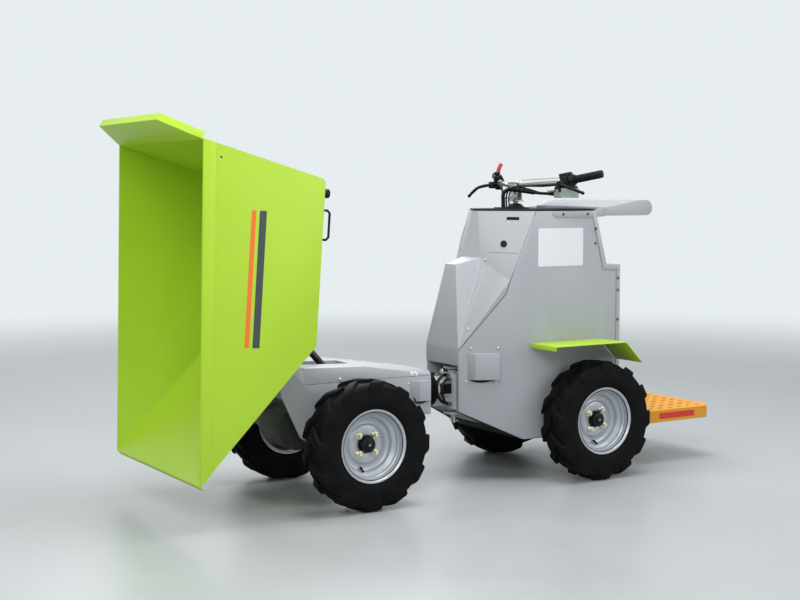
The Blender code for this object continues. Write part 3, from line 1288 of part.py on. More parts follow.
def smooth_route(points, count):
    # Points along a smooth curve through the route's own points
    spans = len(points) - 1
    result = []
    for i in range(count):
        place = i * spans / (count - 1)
        k = min(int(place), spans - 1)
        t = place - k
        before = points[max(k - 1, 0)]
        a, b = points[k], points[k + 1]
        after = points[min(k + 2, spans)]
        result.append(a + ((b - before) * t + (2 * before - 5 * a + 4 * b - after) * t ** 2
                           + (3 * a - before - 3 * b + after) * t ** 3) / 2)
    return result


def stand_on_origin():
    # Moves the machine so that its box stands centred on the origin
    bpy.context.view_layer.update()
    corners = [thing.matrix_world @ vertex.co for thing in parts.objects if thing.type == "MESH"
               for vertex in thing.data.vertices]
    low = [min(c[i] for c in corners) for i in range(3)]
    high = [max(c[i] for c in corners) for i in range(3)]
    empties["root"].location = (-(low[0] + high[0]) / 2, -(low[1] + high[1]) / 2, -low[2])
    bpy.context.view_layer.update()


start()
make_rear_body()
make_cowl()
make_rear_cover()
make_deck()
make_shelf()
make_rear_vents()
make_fenders()
make_step()
make_hinge()
make_axle("rear_axle", "root", 0, 0, 0, BODY_HALF)
make_axle("front_axle", "roll", WHEELBASE, WHEELBASE + GEARBOX_X, AXLE_Z + GEARBOX_LIFT, FRAME_HALF)
make_wheels()
make_knuckle()
make_front_frame()
make_front_cover()
make_tip_pin()
make_frame_vents()
make_skip()
make_spine()
make_skip_fittings()
make_cylinder()
make_bar()
make_loom()
stand_on_origin()
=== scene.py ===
import math
import bmesh
import bpy
from mathutils import Matrix, Vector
from mathutils.bvhtree import BVHTree


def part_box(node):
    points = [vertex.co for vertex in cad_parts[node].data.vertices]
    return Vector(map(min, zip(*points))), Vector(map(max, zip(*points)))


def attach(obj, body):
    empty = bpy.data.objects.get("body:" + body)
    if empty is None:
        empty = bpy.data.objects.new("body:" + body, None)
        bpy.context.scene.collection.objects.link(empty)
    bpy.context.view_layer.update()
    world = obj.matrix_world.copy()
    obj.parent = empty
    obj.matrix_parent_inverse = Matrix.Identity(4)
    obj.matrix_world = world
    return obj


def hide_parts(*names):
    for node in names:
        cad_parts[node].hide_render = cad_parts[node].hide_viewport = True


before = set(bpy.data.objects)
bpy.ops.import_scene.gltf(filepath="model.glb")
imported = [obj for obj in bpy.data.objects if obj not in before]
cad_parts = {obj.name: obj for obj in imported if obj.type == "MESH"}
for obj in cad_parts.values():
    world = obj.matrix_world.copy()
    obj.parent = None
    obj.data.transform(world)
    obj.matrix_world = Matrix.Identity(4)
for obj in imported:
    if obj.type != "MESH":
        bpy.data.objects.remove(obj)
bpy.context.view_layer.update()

scene = bpy.context.scene
scene.view_settings.view_transform = "Standard"

# Places below are measured from the rear axle's ground point: x forward, y left, z up
rearHub = [(a + b) / 2 for a, b in zip(*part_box("hub_rear_left"))]
axleHeight = 0.254864
shift = Vector((rearHub[0], 0, rearHub[2] - axleHeight))
wheelbase = 1.144
wheelY = 0.3585
tipPin = (1.425, 0, 0.590)
tipTurn = math.radians(86)
hair = 0.0002  # how far thin marks stand off the sheet they lie on


def at(x, y, z):
    return Vector((x, y, z)) + shift


inMachine = Matrix.Translation(shift)
# What lies on the skip is drawn about its hinge pin, with the skip lowered
inSkip = Matrix.Translation(at(*tipPin)) @ Matrix.Rotation(tipTurn, 4, "Y")


# Shader maths: a wrapped socket takes part in ordinary expressions
class Socket:
    def __init__(self, sheet, socket):
        self.sheet = sheet
        self.socket = socket

    def maths(self, operation, *values, clamp=False):
        return self.sheet.add("ShaderNodeMath", {"operation": operation, "use_clamp": clamp}, values)

    def __add__(self, other): return self.maths("ADD", self, other)
    def __radd__(self, other): return self.maths("ADD", self, other)
    def __rsub__(self, other): return self.maths("SUBTRACT", other, self)
    def __mul__(self, other): return self.maths("MULTIPLY", self, other)
    def clamped(self): return self.maths("ADD", self, 0.0, clamp=True)


class Sheet:
    # One material under construction
    def __init__(self, name):
        self.material = bpy.data.materials.new(name)
        self.material.use_nodes = True
        self.tree = self.material.node_tree
        self.shader = self.tree.nodes["Principled BSDF"]
        self.places = self.tree.nodes.new("ShaderNodeTexCoord").outputs["Object"]

    def add(self, kind, settings, values, output=0):
        # values is a row for the inputs in order, or a dictionary by input name or number
        node = self.tree.nodes.new(kind)
        for key, value in settings.items():
            setattr(node, key, value)
        for key, value in values.items() if isinstance(values, dict) else enumerate(values):
            self.feed(node.inputs[key], value)
        return Socket(self, node.outputs[output])

    def feed(self, target, value):
        # Colours are given without their alpha
        if isinstance(value, Socket):
            value = value.socket
        if isinstance(value, bpy.types.NodeSocket):
            self.tree.links.new(value, target)
        else:
            target.default_value = (*value, 1) if isinstance(value, tuple) else value

    def noise(self, scale, detail=3.0, roughness=0.55, distortion=0.0):
        return self.add("ShaderNodeTexNoise", {}, {
            "Vector": self.places, "Scale": scale, "Detail": detail, "Roughness": roughness,
            "Distortion": distortion})

    def spread(self, value, low, high, first=0.0, last=1.0):
        # Remaps a value, clamped at both ends
        return self.add("ShaderNodeMapRange", {}, {
            "Value": value, "From Min": low, "From Max": high, "To Min": first, "To Max": last})

    def axis(self, letter):
        return self.add("ShaderNodeSeparateXYZ", {}, (self.places,), letter)

    def mixed(self, factor, first, second):
        # A Mix node has its colours at inputs 6 and 7 and at output 2
        return self.add("ShaderNodeMix", {"data_type": "RGBA"}, {0: factor, 6: first, 7: second}, 2)

    def bump(self, height, strength, distance):
        values = {"Strength": strength, "Distance": distance, "Height": height}
        self.feed(self.shader.inputs["Normal"], self.add("ShaderNodeBump", {}, values))

    def finish(self, colour, roughness, **fixed):
        self.feed(self.shader.inputs["Base Color"], colour)
        self.feed(self.shader.inputs["Roughness"], roughness)
        for key, value in fixed.items():
            self.shader.inputs[key.replace("_", " ")].default_value = value
        return self.material


# Powder-coated sheet: fine orange peel, faint cloudiness, dust that gathers low down
coat = {"peelScale": 900.0, "peelDepth": 0.00006, "cloudScale": 2.3, "dustHeight": 0.55,
        "dust": (0.33, 0.31, 0.28)}


def powderCoat(name, colour, gloss=0.34, dusty=0.10, metallic=0.0, cloud=0.10):
    sheet = Sheet(name)
    clouds = sheet.spread(sheet.noise(coat["cloudScale"], 2.0), 0.3, 0.7)
    darker = tuple(c * (1 - cloud) for c in colour)
    base = sheet.mixed(clouds, darker, colour)
    low = sheet.spread(sheet.axis("Z"), 0.0, coat["dustHeight"], 1.0, 0.0)
    patches = sheet.spread(sheet.noise(26.0, 5.0, 0.65), 0.42, 0.72)
    dust = (low * patches * dusty * 3.0 + patches * dusty * 0.25).clamped()
    base = sheet.mixed(dust, base, coat["dust"])
    peel = sheet.noise(coat["peelScale"], 1.0)
    smears = sheet.spread(sheet.noise(7.0, 4.0, 0.6, 0.8), 0.35, 0.75)
    rough = gloss + smears * 0.10 + dust * 0.35
    sheet.bump(peel, 0.35, coat["peelDepth"])
    return sheet.finish(base, rough, Metallic=metallic, Specular_IOR_Level=0.4)


rubber = {"colour": (0.0040, 0.0040, 0.0044), "scuff": (0.014, 0.0135, 0.0125)}


def tyreRubber():
    sheet = Sheet("tyreRubber")
    fine = sheet.noise(420.0, 3.0, 0.7)
    wide = sheet.noise(18.0, 5.0, 0.65)
    scuffs = sheet.spread(wide, 0.48, 0.72)
    colour = sheet.mixed(scuffs * 0.35, rubber["colour"], rubber["scuff"])
    sheet.bump(fine + wide * 0.6, 0.5, 0.0006)
    return sheet.finish(colour, 0.58 + scuffs * 0.25, Specular_IOR_Level=0.07)


def mouldedBlack(name, colour=(0.0050, 0.0050, 0.0056), rough=0.42, grain=650.0, depth=0.0002):
    sheet = Sheet(name)
    grains = sheet.noise(grain, 2.0, 0.6)
    wide = sheet.spread(sheet.noise(30.0, 3.0), 0.4, 0.75)
    tone = sheet.mixed(wide * 0.35, colour, tuple(c * 1.8 + 0.001 for c in colour))
    sheet.bump(grains, 0.4, depth)
    return sheet.finish(tone, rough + wide * 0.15, Specular_IOR_Level=0.18)


def barePlate(name, colour, rough, metallic=1.0, streak=0.12):
    sheet = Sheet(name)
    brushed = sheet.noise(140.0, 4.0, 0.7, 0.3)
    stains = sheet.spread(sheet.noise(22.0, 4.0, 0.6), 0.45, 0.8)
    tone = sheet.mixed(stains * 0.5, colour, tuple(c * 0.62 for c in colour))
    sheet.bump(brushed, 0.25, 0.0002)
    return sheet.finish(tone, rough + brushed * streak + stains * 0.12, Metallic=metallic)


def castHousing():
    sheet = Sheet("castHousing")
    sand = sheet.noise(260.0, 4.0, 0.7)
    oil = sheet.spread(sheet.noise(14.0, 4.0, 0.6), 0.45, 0.7)
    tone = sheet.mixed(oil, (0.040, 0.041, 0.040), (0.018, 0.018, 0.017))
    sheet.bump(sand, 0.6, 0.0008)
    return sheet.finish(tone, 0.58 - oil * 0.2, Specular_IOR_Level=0.3)


def plainGloss(name, colour, rough=0.3, coatWeight=0.3, mottle=0.25):
    sheet = Sheet(name)
    clouds = sheet.spread(sheet.noise(40.0, 3.0), 0.35, 0.7)
    tone = sheet.mixed(clouds * mottle, colour, tuple(c * 0.75 for c in colour))
    sheet.bump(sheet.noise(500.0, 1.0), 0.2, 0.0001)
    return sheet.finish(tone, rough + clouds * 0.08, Coat_Weight=coatWeight)


paints = {
    "lime": powderCoat("limeCoat", (0.395, 0.615, 0.024), 0.36, 0.03, cloud=0.05),
    "grey": powderCoat("greyCoat", (0.372, 0.385, 0.418), 0.38, 0.07, 0.0, 0.06),
    "paleGrey": powderCoat("paleGreyCoat", (0.60, 0.61, 0.63), 0.36, 0.05, 0.0, 0.05),
    "rim": powderCoat("rimSilver", (0.440, 0.470, 0.505), 0.30, 0.10, 0.35, 0.08),
    "yellow": powderCoat("stepYellow", (0.82, 0.345, 0.010), 0.45, 0.06, cloud=0.08),
    "tyre": tyreRubber(),
    "black": mouldedBlack("blackMoulding"),
    "grip": mouldedBlack("gripRubber", (0.004, 0.004, 0.004), 0.6, 900.0),
    "gasket": mouldedBlack("gasketRubber", (0.007, 0.007, 0.0077), 0.55),
    "zinc": barePlate("zincPlate", (0.50, 0.51, 0.50), 0.26),
    "steel": barePlate("barSteel", (0.27, 0.275, 0.27), 0.30),
    "darkSteel": barePlate("rodSteel", (0.10, 0.10, 0.105), 0.24),
    "yellowZinc": barePlate("passivatedZinc", (0.84, 0.79, 0.58), 0.22),
    "cast": castHousing(),
    "box": powderCoat("boxGreyGreen", (0.30, 0.37, 0.34), 0.42, 0.05),
    "red": plainGloss("redLever", (0.44, 0.016, 0.018), 0.25),
    "reflective": plainGloss("redReflective", (0.60, 0.012, 0.008), 0.22),
    "white": plainGloss("blankPlate", (0.72, 0.73, 0.76), 0.34, 0.0, 0.05),
    # Flat black for dark joints and cable ties, also used as painted shade in openings, holes and under the
    # belly
    "dark": mouldedBlack("darkGap", (0.006, 0.006, 0.006), 0.8),
    "shade": powderCoat("foldShade", (0.200, 0.206, 0.218), 0.5, 0.05),
    "bright": barePlate("brightSteel", (0.72, 0.73, 0.73), 0.16),
    "slate": plainGloss("slateStripe", (0.035, 0.045, 0.055), 0.35),
    "orange": plainGloss("orangeStripe", (0.85, 0.16, 0.012), 0.35),
}
print("materials made:", len(paints))


# Mesh helpers
def newObject(name, mesh):
    obj = bpy.data.objects.new(name, mesh)
    scene.collection.objects.link(obj)
    return obj


def fromBmesh(name, bm, matrix=None):
    bmesh.ops.remove_doubles(bm, verts=bm.verts, dist=0.00001)
    bmesh.ops.recalc_face_normals(bm, faces=bm.faces)
    mesh = bpy.data.meshes.new(name)
    bm.to_mesh(mesh)
    bm.free()
    if matrix is not None:
        mesh.transform(matrix)
        if matrix.determinant() < 0:
            mesh.flip_normals()
    return newObject(name, mesh)


def evaluatedMesh(obj):
    bpy.context.view_layer.update()
    return bpy.data.meshes.new_from_object(obj.evaluated_get(bpy.context.evaluated_depsgraph_get()))


def settle(obj):
    # Live modifiers become plain mesh, and the object goes back to the origin
    mesh = evaluatedMesh(obj)
    mesh.transform(obj.matrix_world)
    name = obj.name
    bpy.data.objects.remove(obj, do_unlink=True)
    return newObject(name, mesh)


def bevelled(obj, width, segments=2, angle=30):
    change = obj.modifiers.new("bevel", "BEVEL")
    change.width = width
    change.segments = segments
    change.limit_method = "ANGLE"
    change.angle_limit = math.radians(angle)
    return settle(obj)


def joined(name, objects):
    bm = bmesh.new()
    for obj in objects:
        mesh = obj.data
        mesh.transform(obj.matrix_world)
        bm.from_mesh(mesh)
        bpy.data.objects.remove(obj, do_unlink=True)
    mesh = bpy.data.meshes.new(name)
    bm.to_mesh(mesh)
    bm.free()
    return newObject(name, mesh)


def finished(obj, paint, body, nodes=(), smooth=35):
    obj.data.materials.clear()
    obj.data.materials.append(paints[paint])
    obj.data.shade_smooth()
    obj.data.set_sharp_from_angle(angle=math.radians(smooth))
    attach(obj, body)
    if nodes:
        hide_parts(*nodes)
    return obj


def shown(name, bm, paint, body, matrix=None, edge=None):
    # edge: the bevel's width, segments and angle
    obj = fromBmesh(name, bm, matrix)
    return finished(bevelled(obj, *edge) if edge else obj, paint, body)


def addBox(bm, low, high):
    made = bmesh.ops.create_cube(bm, size=1)["verts"]
    bmesh.ops.scale(bm, vec=[b - a for a, b in zip(low, high)], verts=made)
    bmesh.ops.translate(bm, vec=[(a + b) / 2 for a, b in zip(low, high)], verts=made)


def addRod(bm, start, end, radius, endRadius=None, sides=24):
    a, b = Vector(start), Vector(end)
    turn = Vector((0, 0, 1)).rotation_difference(b - a).to_matrix().to_4x4()
    bmesh.ops.create_cone(bm, cap_ends=True, segments=sides, radius1=radius,
                          radius2=radius if endRadius is None else endRadius, depth=(b - a).length,
                          matrix=Matrix.Translation((a + b) / 2) @ turn)


def addSlab(bm, lower, upper):
    # A flat body between two rows of corners
    under = [bm.verts.new(corner) for corner in lower]
    over = [bm.verts.new(corner) for corner in upper]
    bm.faces.new(under)
    bm.faces.new(over[::-1])
    for i in range(len(under)):
        j = (i + 1) % len(under)
        bm.faces.new((under[i], under[j], over[j], over[i]))


def addPlate(bm, outline, across, low, high):
    # An outline drawn out between two levels of x or y
    place = {"x": lambda a, b, c: (c, a, b), "y": lambda a, b, c: (a, c, b)}[across]
    addSlab(bm, [place(a, b, low) for a, b in outline], [place(a, b, high) for a, b in outline])


def addStrip(bm, a, b, normal, wide, tall):
    # A thin raised line between two places on a flat face
    across = (b - a).cross(normal).normalized() * wide / 2
    corners = (a - across, a + across, b + across, b - across)
    addSlab(bm, [c - normal * tall for c in corners], [c + normal * tall for c in corners])


def addLathe(bm, profile, steps, closed=False):
    # A profile of (radius, y) turned about the y axis
    rings = []
    for k in range(steps):
        t = 2 * math.pi * k / steps
        rings.append([bm.verts.new((r * math.cos(t), y, r * math.sin(t))) for r, y in profile])
    count = len(profile) if closed else len(profile) - 1
    for k in range(steps):
        here, after = rings[k], rings[(k + 1) % steps]
        for i in range(count):
            j = (i + 1) % len(profile)
            bm.faces.new((here[i], here[j], after[j], after[i]))


def lathed(name, profile, steps, closed=False, matrix=None):
    bm = bmesh.new()
    addLathe(bm, profile, steps, closed)
    return fromBmesh(name, bm, matrix)


def swept(name, points, radius, resolution=4, smooth=True):
    # A round tube along a smooth curve through the points
    obj = polyline(name, smoothRoute(points) if smooth else points)
    obj.data.bevel_depth = radius
    obj.data.bevel_resolution = resolution
    obj.data.use_fill_caps = True
    return settle(obj)


def smoothRoute(points, perSpan=6):
    points = [Vector(p) for p in points]
    last = len(points) - 1
    result = []
    for i in range(last):
        p0, p1, p2, p3 = points[max(i - 1, 0)], points[i], points[i + 1], points[min(i + 2, last)]
        for k in range(perSpan):
            t = k / perSpan
            result.append(0.5 * (2 * p1 + (p2 - p0) * t + (2 * p0 - 5 * p1 + 4 * p2 - p3) * t * t
                                 + (3 * p1 - p0 - 3 * p2 + p3) * t ** 3))
    return result + [points[last]]


# A CAD node's own shape with its edges eased, under one of the paints
def dressed(body, node, name, paint, width, segments=2, angle=28, smooth=35):
    bm = bmesh.new()
    bm.from_mesh(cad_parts[node].data)
    bmesh.ops.remove_doubles(bm, verts=bm.verts, dist=0.00002)
    bmesh.ops.dissolve_limit(bm, angle_limit=math.radians(1.0), verts=bm.verts, edges=bm.edges)
    mesh = bpy.data.meshes.new(name)
    bm.to_mesh(mesh)
    bm.free()
    obj = newObject(name, mesh)
    if width:
        obj = bevelled(obj, width, segments, angle)
    return finished(obj, paint, body, (node,), smooth)


def dressedAll(body, *rows):
    # rows: node, piece, paint, width of the eased edge, then segments and angles where they differ
    for row in rows:
        dressed(body, *row)


# Geometry Nodes: a piece set around the y axis, at marked points, or along a path
def makeTree(name, inputs, nodes, settings, wires):
    # Every tree sets its piece on points and ends in Realize Instances and Set Material
    tree = bpy.data.node_groups.new(name, "GeometryNodeTree")
    tree.interface.new_socket("Geometry", in_out="INPUT", socket_type="NodeSocketGeometry")
    for label, kind in (("Piece", "Object"), *inputs, ("Finish", "Material")):
        tree.interface.new_socket(label, in_out="INPUT", socket_type="NodeSocket" + kind)
    tree.interface.new_socket("Geometry", in_out="OUTPUT", socket_type="NodeSocketGeometry")
    kinds = {"given": "NodeGroupInput", "taken": "NodeGroupOutput", "source": "GeometryNodeObjectInfo",
             "place": "GeometryNodeInstanceOnPoints", "realize": "GeometryNodeRealizeInstances",
             "paint": "GeometryNodeSetMaterial", **nodes}
    made = {key: tree.nodes.new(kind) for key, kind in kinds.items()}
    for key, setting, value in settings:
        if isinstance(setting, str) and hasattr(made[key], setting):
            setattr(made[key], setting, value)
        else:
            made[key].inputs[setting].default_value = value
    for source, out, target, into in (
            *wires, ("given", "Piece", "source", "Object"), ("source", "Geometry", "place", "Instance"),
            ("place", 0, "realize", 0), ("realize", 0, "paint", "Geometry"),
            ("given", "Finish", "paint", "Material"), ("paint", 0, "taken", 0)):
        tree.links.new(made[source].outputs[out], made[target].inputs[into])
    return tree


trees = {
    "ring": makeTree(
        "aroundAxle", (("Count", "Int"), ("First Turn", "Float")),
        {"points": "GeometryNodePoints", "index": "GeometryNodeInputIndex", "share": "ShaderNodeMath",
         "turn": "ShaderNodeMath", "vector": "ShaderNodeCombineXYZ"},
        (("share", "operation", "DIVIDE"), ("turn", "operation", "MULTIPLY_ADD"), ("turn", 1, 2 * math.pi)),
        (("given", "Count", "points", "Count"), ("index", 0, "share", 0), ("given", "Count", "share", 1),
         ("share", 0, "turn", 0), ("given", "First Turn", "turn", 2), ("turn", 0, "vector", "Y"),
         ("points", 0, "place", "Points"), ("vector", 0, "place", "Rotation"))),
    "marks": makeTree(
        "atMarks", (),
        {"facing": "GeometryNodeInputNamedAttribute", "align": "FunctionNodeAlignRotationToVector"},
        (("facing", "data_type", "FLOAT_VECTOR"), ("facing", "Name", "facing"), ("align", "axis", "Z")),
        (("given", 0, "place", "Points"), ("facing", "Attribute", "align", "Vector"),
         ("align", 0, "place", "Rotation"))),
    "path": makeTree(
        "alongPath", (("Count", "Int"),), {"steps": "GeometryNodeCurveToPoints"},
        (("steps", "mode", "COUNT"),),
        (("given", 0, "steps", "Curve"), ("given", "Count", "steps", "Count"),
         ("steps", "Points", "place", "Points"), ("steps", "Rotation", "place", "Rotation"))),
}


def grown(name, carrier, tree, **values):
    # Runs a tree on its carrier, set by the sockets' identifiers, and keeps the plain mesh
    change = carrier.modifiers.new("repeat", "NODES")
    change.node_group = trees[tree]
    known = {item.name: item.identifier for item in trees[tree].interface.items_tree
             if item.in_out == "INPUT"}
    for label, value in values.items():
        change[known[label.replace("_", " ")]] = value
    mesh = evaluatedMesh(carrier)
    bpy.data.objects.remove(carrier, do_unlink=True)
    bpy.data.objects.remove(values["Piece"], do_unlink=True)
    return newObject(name, mesh)


def aroundAxle(name, piece, count, paint, firstTurn=0.0):
    carrier = newObject("carrier", bpy.data.meshes.new("carrier"))
    return grown(name, carrier, "ring", Piece=piece, Count=count, First_Turn=firstTurn, Finish=paints[paint])


def atMarks(name, piece, marks, paint, body):
    # marks: (place, direction that the piece's z axis takes)
    mesh = bpy.data.meshes.new("marks")
    mesh.from_pydata([tuple(place) for place, facing in marks], [], [])
    data = mesh.attributes.new("facing", "FLOAT_VECTOR", "POINT")
    for i, (place, facing) in enumerate(marks):
        data.data[i].vector = facing
    finished(grown(name, newObject("marks", mesh), "marks", Piece=piece, Finish=paints[paint]), paint, body)


def polyline(name, points):
    curve = bpy.data.curves.new(name, "CURVE")
    curve.dimensions = "3D"
    spline = curve.splines.new("POLY")
    spline.points.add(len(points) - 1)
    for point, place in zip(spline.points, points):
        point.co = (*place, 1)
    return newObject(name, curve)


def alongPath(name, piece, points, count, paint):
    return grown(name, polyline("path", points), "path", Piece=piece, Count=count, Finish=paints[paint])


def addScrews(name, marks, paint, body, radius, tall, hexagon=False):
    # Heads with their washers, standing on the marks
    bm = bmesh.new()
    addRod(bm, (0, 0, -0.0005), (0, 0, 0.0008), radius * 1.45, sides=20)
    if hexagon:
        addRod(bm, (0, 0, 0.0008), (0, 0, 0.0008 + tall), radius, sides=6)
    else:
        addRod(bm, (0, 0, 0.0008), (0, 0, 0.0008 + tall), radius, radius * 0.7, sides=16)
    atMarks(name, bevelled(fromBmesh("screwHead", bm), 0.0004, 1, 40), marks, paint, body)


# Wheels
tyreSizes = {"half": 0.0700, "pitches": 12, "share": 0.44, "sweep": math.radians(17.0)}
tyreSection = [(0.1313, 0.0546), (0.1450, 0.0552), (0.1500, 0.0600), (0.1525, 0.0632), (0.1560, 0.0640),
               (0.1600, 0.0655), (0.1640, 0.0668), (0.1660, 0.0690), (0.1700, 0.0694), (0.1880, 0.0703),
               (0.2060, 0.0700), (0.2080, 0.0690), (0.2220, 0.0682), (0.2340, 0.0645), (0.2405, 0.0560),
               (0.2425, 0.0350), (0.2430, 0.0100)]
lugPath = [  # y, top radius, foot radius, width share
    (-0.004, 0.2555, 0.234, 0.80), (0.018, 0.2558, 0.234, 0.82), (0.040, 0.2556, 0.232, 1.00),
    (0.056, 0.2545, 0.224, 1.14), (0.0665, 0.2505, 0.214, 1.22)]
lugPitch = 2 * math.pi / tyreSizes["pitches"]


def lugPiece(side):
    rows = []
    for y, top, foot, wide in lugPath:
        middle = tyreSizes["sweep"] * (1 - max(y, 0) / tyreSizes["half"]) - math.pi / 2
        half = lugPitch * tyreSizes["share"] * wide / 2
        rows.append((y, middle, foot, half * 1.10, top, half * 0.80))
    # The last row ends the lug on the side wall
    half = lugPitch * tyreSizes["share"] * 1.2 / 2
    rows.append((0.0706, -math.pi / 2, 0.198, half, 0.240, half * 0.95))
    bm, loops = bmesh.new(), []
    for y, middle, foot, footHalf, top, topHalf in rows:
        corners = ((foot, middle - footHalf), (top, middle - topHalf), (top, middle + topHalf),
                   (foot, middle + footHalf))
        loops.append([bm.verts.new((r * math.cos(t), side * y, r * math.sin(t))) for r, t in corners])
    for a, b in zip(loops, loops[1:]):
        for i in range(4):
            j = (i + 1) % 4
            bm.faces.new((a[i], a[j], b[j], b[i]))
    bm.faces.new(loops[0])
    bm.faces.new(loops[-1][::-1])
    return bevelled(fromBmesh("lug", bm), 0.0026, 2, 25)


def makeTyre():
    carcass = lathed("carcass", tyreSection + [(r, -y) for r, y in tyreSection[::-1]], 96, True)
    left = aroundAxle("lugsLeft", lugPiece(1), tyreSizes["pitches"], "tyre")
    right = aroundAxle("lugsRight", lugPiece(-1), tyreSizes["pitches"], "tyre", lugPitch / 2)
    return joined("tyre", [carcass, left, right])


rimSection = [  # outer face, from the flange inwards to the hub hole: radius, y
    (0.1375, 0.0545), (0.1440, 0.0552), (0.1448, 0.0585), (0.1435, 0.0610), (0.1400, 0.0612),
    (0.1370, 0.0590), (0.1345, 0.0560), (0.1318, 0.0520), (0.1300, 0.0400), (0.1290, 0.0330),
    (0.1255, 0.0300), (0.1240, 0.0270), (0.1235, 0.0190), (0.1200, 0.0160), (0.1100, 0.0130),
    (0.1075, 0.0100), (0.1065, 0.0000), (0.1050, -0.0070), (0.1000, -0.0108), (0.0930, -0.0118),
    (0.0830, -0.0116), (0.0790, -0.0095), (0.0750, -0.0050), (0.0715, -0.0032), (0.0390, -0.0030),
    (0.0360, -0.0045), (0.0350, -0.0080), (0.0350, -0.0190)]
rimBack = [  # inner face, from the hub hole back to the flange
    (0.0900, -0.0195), (0.1020, -0.0195), (0.1028, -0.0280), (0.1035, -0.0300), (0.1190, -0.0330),
    (0.1260, -0.0380), (0.1290, -0.0520), (0.1320, -0.0560), (0.1380, -0.0600), (0.1430, -0.0610),
    (0.1445, -0.0580), (0.1430, -0.0555), (0.1345, -0.0550), (0.1305, -0.0510), (0.1300, -0.0300),
    (0.1100, -0.0240), (0.1100, 0.0100), (0.1280, 0.0190), (0.1305, 0.0300), (0.1305, 0.0500)]
innerShadeProfile = [  # painted shade: a dark skin over the inner side of the rim
    (0.0340, -0.0200), (0.1015, -0.0200), (0.1023, -0.0284), (0.1032, -0.0305), (0.1188, -0.0336),
    (0.1255, -0.0386), (0.1284, -0.0520), (0.1278, -0.0520), (0.1250, -0.0390), (0.1185, -0.0342),
    (0.1026, -0.0311), (0.1015, -0.0290), (0.1008, -0.0207), (0.0340, -0.0207)]
capSection = [  # hub end
    (0.0, 0.0272), (0.0120, 0.0270), (0.0160, 0.0255), (0.0175, 0.0225), (0.0262, 0.0215), (0.0292, 0.0190),
    (0.0300, 0.0150), (0.0300, 0.0020), (0.0318, -0.0005), (0.0320, -0.0110), (0.0, -0.0110)]
plugSection = [(0.0, 0.0286), (0.0042, 0.0284), (0.0052, 0.0276), (0.0054, 0.0262), (0.0, 0.0262)]


def makeNuts():
    # Domed nuts, each with its cone seat and the stud's end
    bm = bmesh.new()
    addRod(bm, (0, -0.0035, -0.050), (0, 0.002, -0.050), 0.0150, 0.0125, sides=24)
    addRod(bm, (0, 0.002, -0.050), (0, 0.0125, -0.050), 0.0122, sides=6)
    addRod(bm, (0, 0.0125, -0.050), (0, 0.0200, -0.050), 0.0085, 0.0048, sides=20)
    nut = bevelled(fromBmesh("nut", bm), 0.0008, 2, 35)
    return aroundAxle("nuts", nut, 4, "yellowZinc", math.radians(45))


def makeValve():
    # Valve hole's boss and the stem through it
    bm = bmesh.new()
    addRod(bm, (0, -0.006, -0.094), (0.0, 0.010, -0.101), 0.0052, 0.0042, sides=16)
    addRod(bm, (0, 0.010, -0.101), (0.0, 0.020, -0.1055), 0.0036, sides=16)
    return fromBmesh("valve", bm, Matrix.Rotation(math.radians(-14), 4, "Y"))


def makeHubEnd():
    # A cap with ribs round it
    cap = lathed("cap", capSection, 48)
    bm = bmesh.new()
    addBox(bm, (-0.0016, 0.004, -0.0312), (0.0016, 0.0185, -0.0280))
    rib = bevelled(fromBmesh("rib", bm), 0.0004, 1)
    return joined("hubEnd", [cap, aroundAxle("ribs", rib, 12, "black")])


def makeWheels():
    # Piece, paint and the CAD nodes whose place it takes, by the start of their names
    rows = (("tyre", makeTyre(), "tyre", ("tyre_",)),
            ("rim", lathed("rim", rimSection + rimBack, 96, True), "rim", ("rim_",)),
            ("wheelNuts", makeNuts(), "yellowZinc", ()), ("hubEnd", makeHubEnd(), "black", ("hub_",)),
            ("valve", makeValve(), "black", ()), ("hubPlug", lathed("plug", plugSection, 24), "steel", ()),
            ("rimLiner", lathed("liner", innerShadeProfile, 64, True), "cast", ()))
    for where, x, side, turn in (("rear_left", 0, 1, 10), ("rear_right", 0, -1, 40),
                                 ("front_left", wheelbase, 1, 0), ("front_right", wheelbase, -1, 25)):
        matrix = Matrix.Translation(at(x, side * wheelY, axleHeight)) @ Matrix.Scale(side, 4, (0, 1, 0))
        for label, source, paint, nodes in rows:
            mesh = source.data.copy()
            mesh.transform(matrix @ Matrix.Rotation(math.radians(turn if label != "tyre" else 0), 4, "Y"))
            if side < 0:
                mesh.flip_normals()
            obj = newObject(label + "_" + where, mesh)
            finished(obj, paint, "wheel_" + where, [node + where for node in nodes])
    for label, source, paint, nodes in rows:
        bpy.data.objects.remove(source, do_unlink=True)
    print("wheels made")


# Console and rear half
console = {"half": 0.25, "taperX": 0.293, "frontX": 0.556, "frontHalf": 0.126}
taper = (console["frontX"] - console["taperX"], console["frontHalf"] - console["half"], 0)
taperRun = Vector(taper).normalized()


def taperHalf(x):
    # Half of the console's width, which narrows towards the front
    return console["half"] + taper[1] * max((x - console["taperX"]) / taper[0], 0)


def taperFacing(side):
    # The way the narrowing side wall looks
    return Vector((-taperRun.y, side * taperRun.x, 0))


